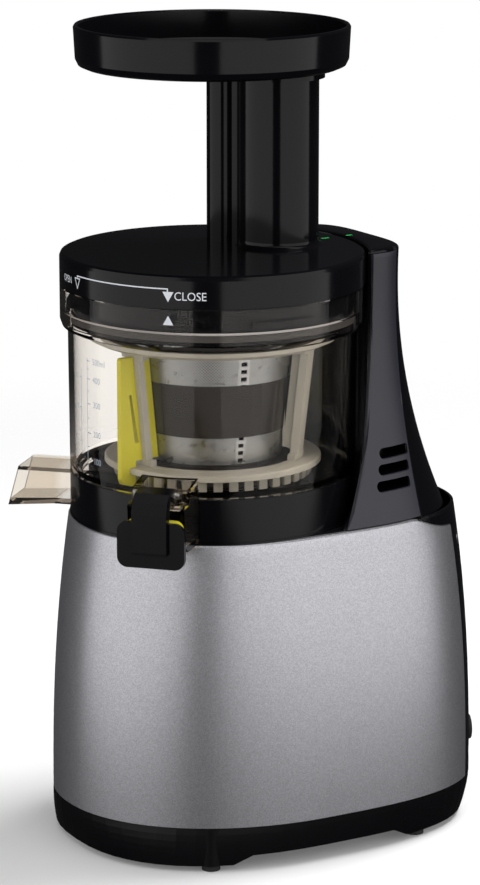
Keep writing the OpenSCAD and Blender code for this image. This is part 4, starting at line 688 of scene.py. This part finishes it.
def stroke(name, path, width, *place, closed=False):
    """Printed line along flat points, place as wrapped() takes it."""
    points, faces = [], []
    ends = path[1:] + path[:1] if closed else path[1:]
    for (x0, z0), (x1, z1) in zip(path, ends):
        d = math.hypot(x1 - x0, z1 - z0)
        ex, ez = (x1 - x0) / d * width / 2, (z1 - z0) / d * width / 2
        steps = max(1, int(d / 2))
        start = len(points)
        for k in range(steps + 1):
            cx = x0 - ex + (x1 - x0 + 2 * ex) * k / steps
            cz = z0 - ez + (z1 - z0 + 2 * ez) * k / steps
            points += [(cx - ez, cz + ex), (cx + ez, cz - ex)]
        faces += [(start + 2 * k, start + 2 * k + 1, start + 2 * k + 3, start + 2 * k + 2)
                  for k in range(steps)]
    return wrapped(name, points, faces, *place)


def triangle(name, size, up, *place):
    """Printed solid arrowhead that points up (1) or down (-1)."""
    half, tip = size / 2, up * size * 0.45
    return wrapped(name, [(-half, -tip), (half, -tip), (0, tip)], [(0, 1, 2)], *place)


def lid_marks():
    """OPEN and CLOSE on the lid, joined by a line, and the arrow on the collar below."""
    white = ink("white_ink", (0.72, 0.74, 0.78))
    r = LID_R + PRINT_LIFT
    word("mark_open", "OPEN", 3.3, r, -11.6, 280.0, white, "lid_set", squeeze=0.86, bold=0.004)
    word("mark_close", "CLOSE", 3.9, r, 47.0, 279.4, white, "lid_set", squeeze=0.92, bold=0.012)
    stroke("mark_open_arrow", [(-2.3, 2.4), (2.3, 2.4), (0, -2.3)], 0.55,
           r, OPEN_AZIMUTH, 281.0, white, "lid_set", closed=True)
    stroke("mark_line", [(0, -1.0), (0, 0), (56.0, 0), (56.0, -1.4)], 0.6,
           r, OPEN_AZIMUTH, 284.6, white, "lid_set")
    triangle("mark_close_arrow", 5.4, -1, r, CLOSE_AZIMUTH, 280.8, white, "lid_set")
    triangle("mark_bowl_arrow", 5.0, 1, COLLAR_R + PRINT_LIFT, CLOSE_AZIMUTH, 269.7, white,
             "bowl")


def scale_marks():
    """Millilitres and ounces on the bowl, to the right and left of two upright lines."""
    faint = ink("grey_ink", (0.42, 0.48, 0.56))

    def figure(name, text, size, azimuth, z, drop, squeeze):
        word(name, text, size, bowl_radius(z) + SCALE_LIFT, azimuth, z - drop, faint, "bowl",
             squeeze=squeeze)

    def tick(name, length, width, azimuth, z):
        stroke(name, [(0, 0), (length, 0)], width, bowl_radius(z) + SCALE_LIFT, azimuth, z, faint,
               "bowl")

    for k, (label, z) in enumerate([("500ml", 243.6), ("400", 234.8), ("300", 222.6),
                                    ("200", 208.3), ("100", 195.0)]):
        figure(f"mark_volume_{label}", label, 3.0, 6.6, z, 1.4, 0.9)
        tick(f"mark_tick_{k}", 2.6, 0.4, SCALE_AZIMUTH, z)
    line_r = bowl_radius(220) + 0.1
    stroke("mark_scale", [(0, 0), (0, -54)], 0.4, line_r, SCALE_AZIMUTH, 244.6, faint, "bowl")
    for k, z in enumerate([239.5, 228.8, 215.5, 201.5]):
        tick(f"mark_half_tick_{k}", 1.5, 0.35, SCALE_AZIMUTH, z)
    for label, z in (("15", 234.5), ("10", 219.6), ("5", 203.0)):
        figure(f"mark_ounces_{label}", label, 2.6, -7.6, z, 1.2, 0.85)
        tick(f"mark_ounce_tick_{label}", -1.6, 0.35, -SCALE_AZIMUTH, z)
    stroke("mark_ounce_scale", [(0, 0), (0, -40)], 0.35, line_r, -SCALE_AZIMUTH, 238, faint,
           "bowl")


def align_marks():
    """Small green bars on the lid and on the tower, in line when the lid is closed."""
    green = ink("green_ink", (0.03, 0.42, 0.08))
    half = 0.8
    for name, y, depth, z, body in (("mark_lid_green", 63.5, 4.2, LID_TOP, "lid_set"),
                                    ("mark_tower_green", 77.3, 3.4, TOWER_TOP, "motor_base")):
        front, back = y - depth / 2, y + depth / 2
        points = [(-half, front), (half, front), (half, back), (-half, back)]
        mesh_object(name, [(*p, z + 0.05) for p in points], [(0, 1, 2, 3)], green, body)


# ---------------------------------------------------------------- chute

CHUTE_Y, CHUTE_R, FILLET_R = 36.5, 20.0, 3.0
FILLET_SPAN = (-100, 176)                # open where the chute's small lobe joins the large one


def chute_fillet():
    """Rounded root of the chute's large lobe on the lid."""
    inner, outer = CHUTE_R - 0.6, CHUTE_R + FILLET_R
    corner = [(outer - FILLET_R * sin_d(a), LID_TOP + FILLET_R - FILLET_R * cos_d(a))
              for a in spread(0, 88, 10)]
    profile = [(inner, LID_TOP - 0.3), (outer, LID_TOP - 0.3)] + corner
    profile += [(inner, LID_TOP + FILLET_R)]
    cols = [[(r * cos_d(a), CHUTE_Y + r * sin_d(a), z) for r, z in profile]
            for a in spread(*FILLET_SPAN, 147)]
    swept("chute_root", cols, GLOSS, "lid_set")


# ---------------------------------------------------------------- surroundings, in metres

FLOOR_SOLID, FLOOR_END = 0.5, 1.1        # the floor fades into the backdrop between these radii
FLOOR_SHADE = (0.72, 0.74)
FLOOR_GLOW = 0.1                         # lifts the lit floor to the backdrop's white
FLOOR_DULL = (0.3, 0.3, 0.31)            # its colour to rays that have bounced
BACKDROP, DIM = 1.0, 0.02                # strength of the world to the camera and to the rest

# Name, azimuth, distance, height, size, power in watts and height of the point it is aimed at
LAMPS = (
    ("box_left", 2, 1.6, 0.6, (3.1, 1.9), 25, 0.6),
    ("box_right", 112, 1.7, 0.6, (3.4, 1.9), 29, 0.6),
    ("top", CAM_AZIMUTH - 10, 0.3, 1.9, (2.4, 2.4), 20, 0.2),
    ("key_behind", 180, 0.8, 1.7, (0.8, 0.8), 34, 0.2),
)


def seen_rays(tree):
    """1 for rays from the camera, straight or through clear plastic, else 0."""
    ray = add(tree, "ShaderNodeLightPath").outputs
    bounces = maths(tree, "ADD", ray["Glossy Depth"], ray["Diffuse Depth"])
    direct = maths(tree, "LESS_THAN", bounces, 0.5)
    through = maths(tree, "MULTIPLY", ray["Is Transmission Ray"], direct)
    return maths(tree, "MAXIMUM", ray["Is Camera Ray"], through)


def floor_material():
    """Pale to the camera, dull to the object, clear to the lamps and beyond the fade."""
    m, t, out = new_material("studio_floor")
    pale = add(t, "ShaderNodeBsdfDiffuse")
    link(t, ranged(t, noise(t, 3.0, 3.0), "Fac", *FLOOR_SHADE), "Result", pale, "Color")
    glow = add(t, "ShaderNodeEmission", {"Color": (1, 1, 1, 1), "Strength": FLOOR_GLOW})
    lit = add(t, "ShaderNodeAddShader")
    link(t, pale, 0, lit, 0)
    link(t, glow, 0, lit, 1)
    dull = add(t, "ShaderNodeBsdfDiffuse", {"Color": (*FLOOR_DULL, 1)})
    solid = mixed(t, seen_rays(t), dull, lit)
    tc = add(t, "ShaderNodeTexCoord")
    away = add(t, "ShaderNodeVectorMath", operation="LENGTH")
    link(t, tc, "Object", away, 0)
    fade = add(t, "ShaderNodeMapRange", {"From Min": FLOOR_SOLID, "From Max": FLOOR_END},
               interpolation_type="SMOOTHSTEP")
    link(t, away, "Value", fade, "Value")
    clear = add(t, "ShaderNodeBsdfTransparent")
    faded = mixed(t, fade.outputs["Result"], solid, clear)
    ray = add(t, "ShaderNodeLightPath")
    link(t, mixed(t, ray.outputs["Is Shadow Ray"], faded, clear), 0, out, "Surface")
    return m


def floor():
    """Round studio floor that keeps the object's soft shadow."""
    me = bpy.data.meshes.new("floor")
    ring = [(FLOOR_END * cos_d(a), FLOOR_END * sin_d(a), 0) for a in range(0, 360, 5)]
    me.from_pydata(ring, [], [tuple(range(len(ring)))])
    me.materials.append(floor_material())
    o = linked("floor", me)
    o.visible_glossy = False


def world():
    """White behind the object; nearly dark for reflections, so the lamps shape them."""
    w = bpy.data.worlds.new("studio")
    bpy.context.scene.world = w
    w.use_nodes = True
    t = w.node_tree
    t.nodes.clear()
    out = t.nodes.new("ShaderNodeOutputWorld")
    white = add(t, "ShaderNodeBackground", {"Color": (1, 1, 1, 1), "Strength": BACKDROP})
    dim = add(t, "ShaderNodeBackground", {"Color": (0.95, 0.96, 1, 1), "Strength": DIM})
    link(t, mixed(t, seen_rays(t), dim, white), 0, out, "Surface")


def soft_light(name, azimuth, distance, height, size, power, aim):
    """Rectangular soft light, hidden from the camera itself."""
    lamp = bpy.data.lights.new(name, "AREA")
    lamp.shape = "RECTANGLE"
    lamp.size, lamp.size_y = size
    lamp.energy = power
    o = linked(name, lamp)
    o.location = (distance * sin_d(azimuth), -distance * cos_d(azimuth), height)
    o.rotation_euler = (Vector((0, 0, aim)) - o.location).to_track_quat("-Z", "Y").to_euler()
    o.visible_camera = False
    return o


def camera():
    c = bpy.data.cameras.new("camera")
    c.sensor_fit = "VERTICAL"
    c.sensor_height = SENSOR
    c.lens = CAM_LENS
    c.clip_end = 100
    o = linked("camera", c)
    o.location = (AXIS_X + CAM_DISTANCE * MM * sin_d(CAM_AZIMUTH),
                  AXIS_Y - CAM_DISTANCE * MM * cos_d(CAM_AZIMUTH), CAM_HEIGHT * MM)
    o.rotation_euler = (math.radians(90 - CAM_PITCH), 0, math.radians(CAM_AZIMUTH - CAM_YAW))
    bpy.context.scene.camera = o


def surroundings():
    """Two broad side boxes with a dark gap between them, a soft top and a key from behind."""
    floor()
    world()
    camera()
    lamps = {lamp[0]: soft_light(*lamp) for lamp in LAMPS}
    # The key only casts the shadow: its reflection would draw a white line along upper edges
    lamps["key_behind"].visible_glossy = False


dress_solids()
body_shell()
tower_core()
tower_panel(1, "right")
tower_panel(-1, "left")
deck_shoulder()
lid_marks()
scale_marks()
align_marks()
chute_fillet()
surroundings()

bpy.context.scene.view_settings.view_transform = "Standard"
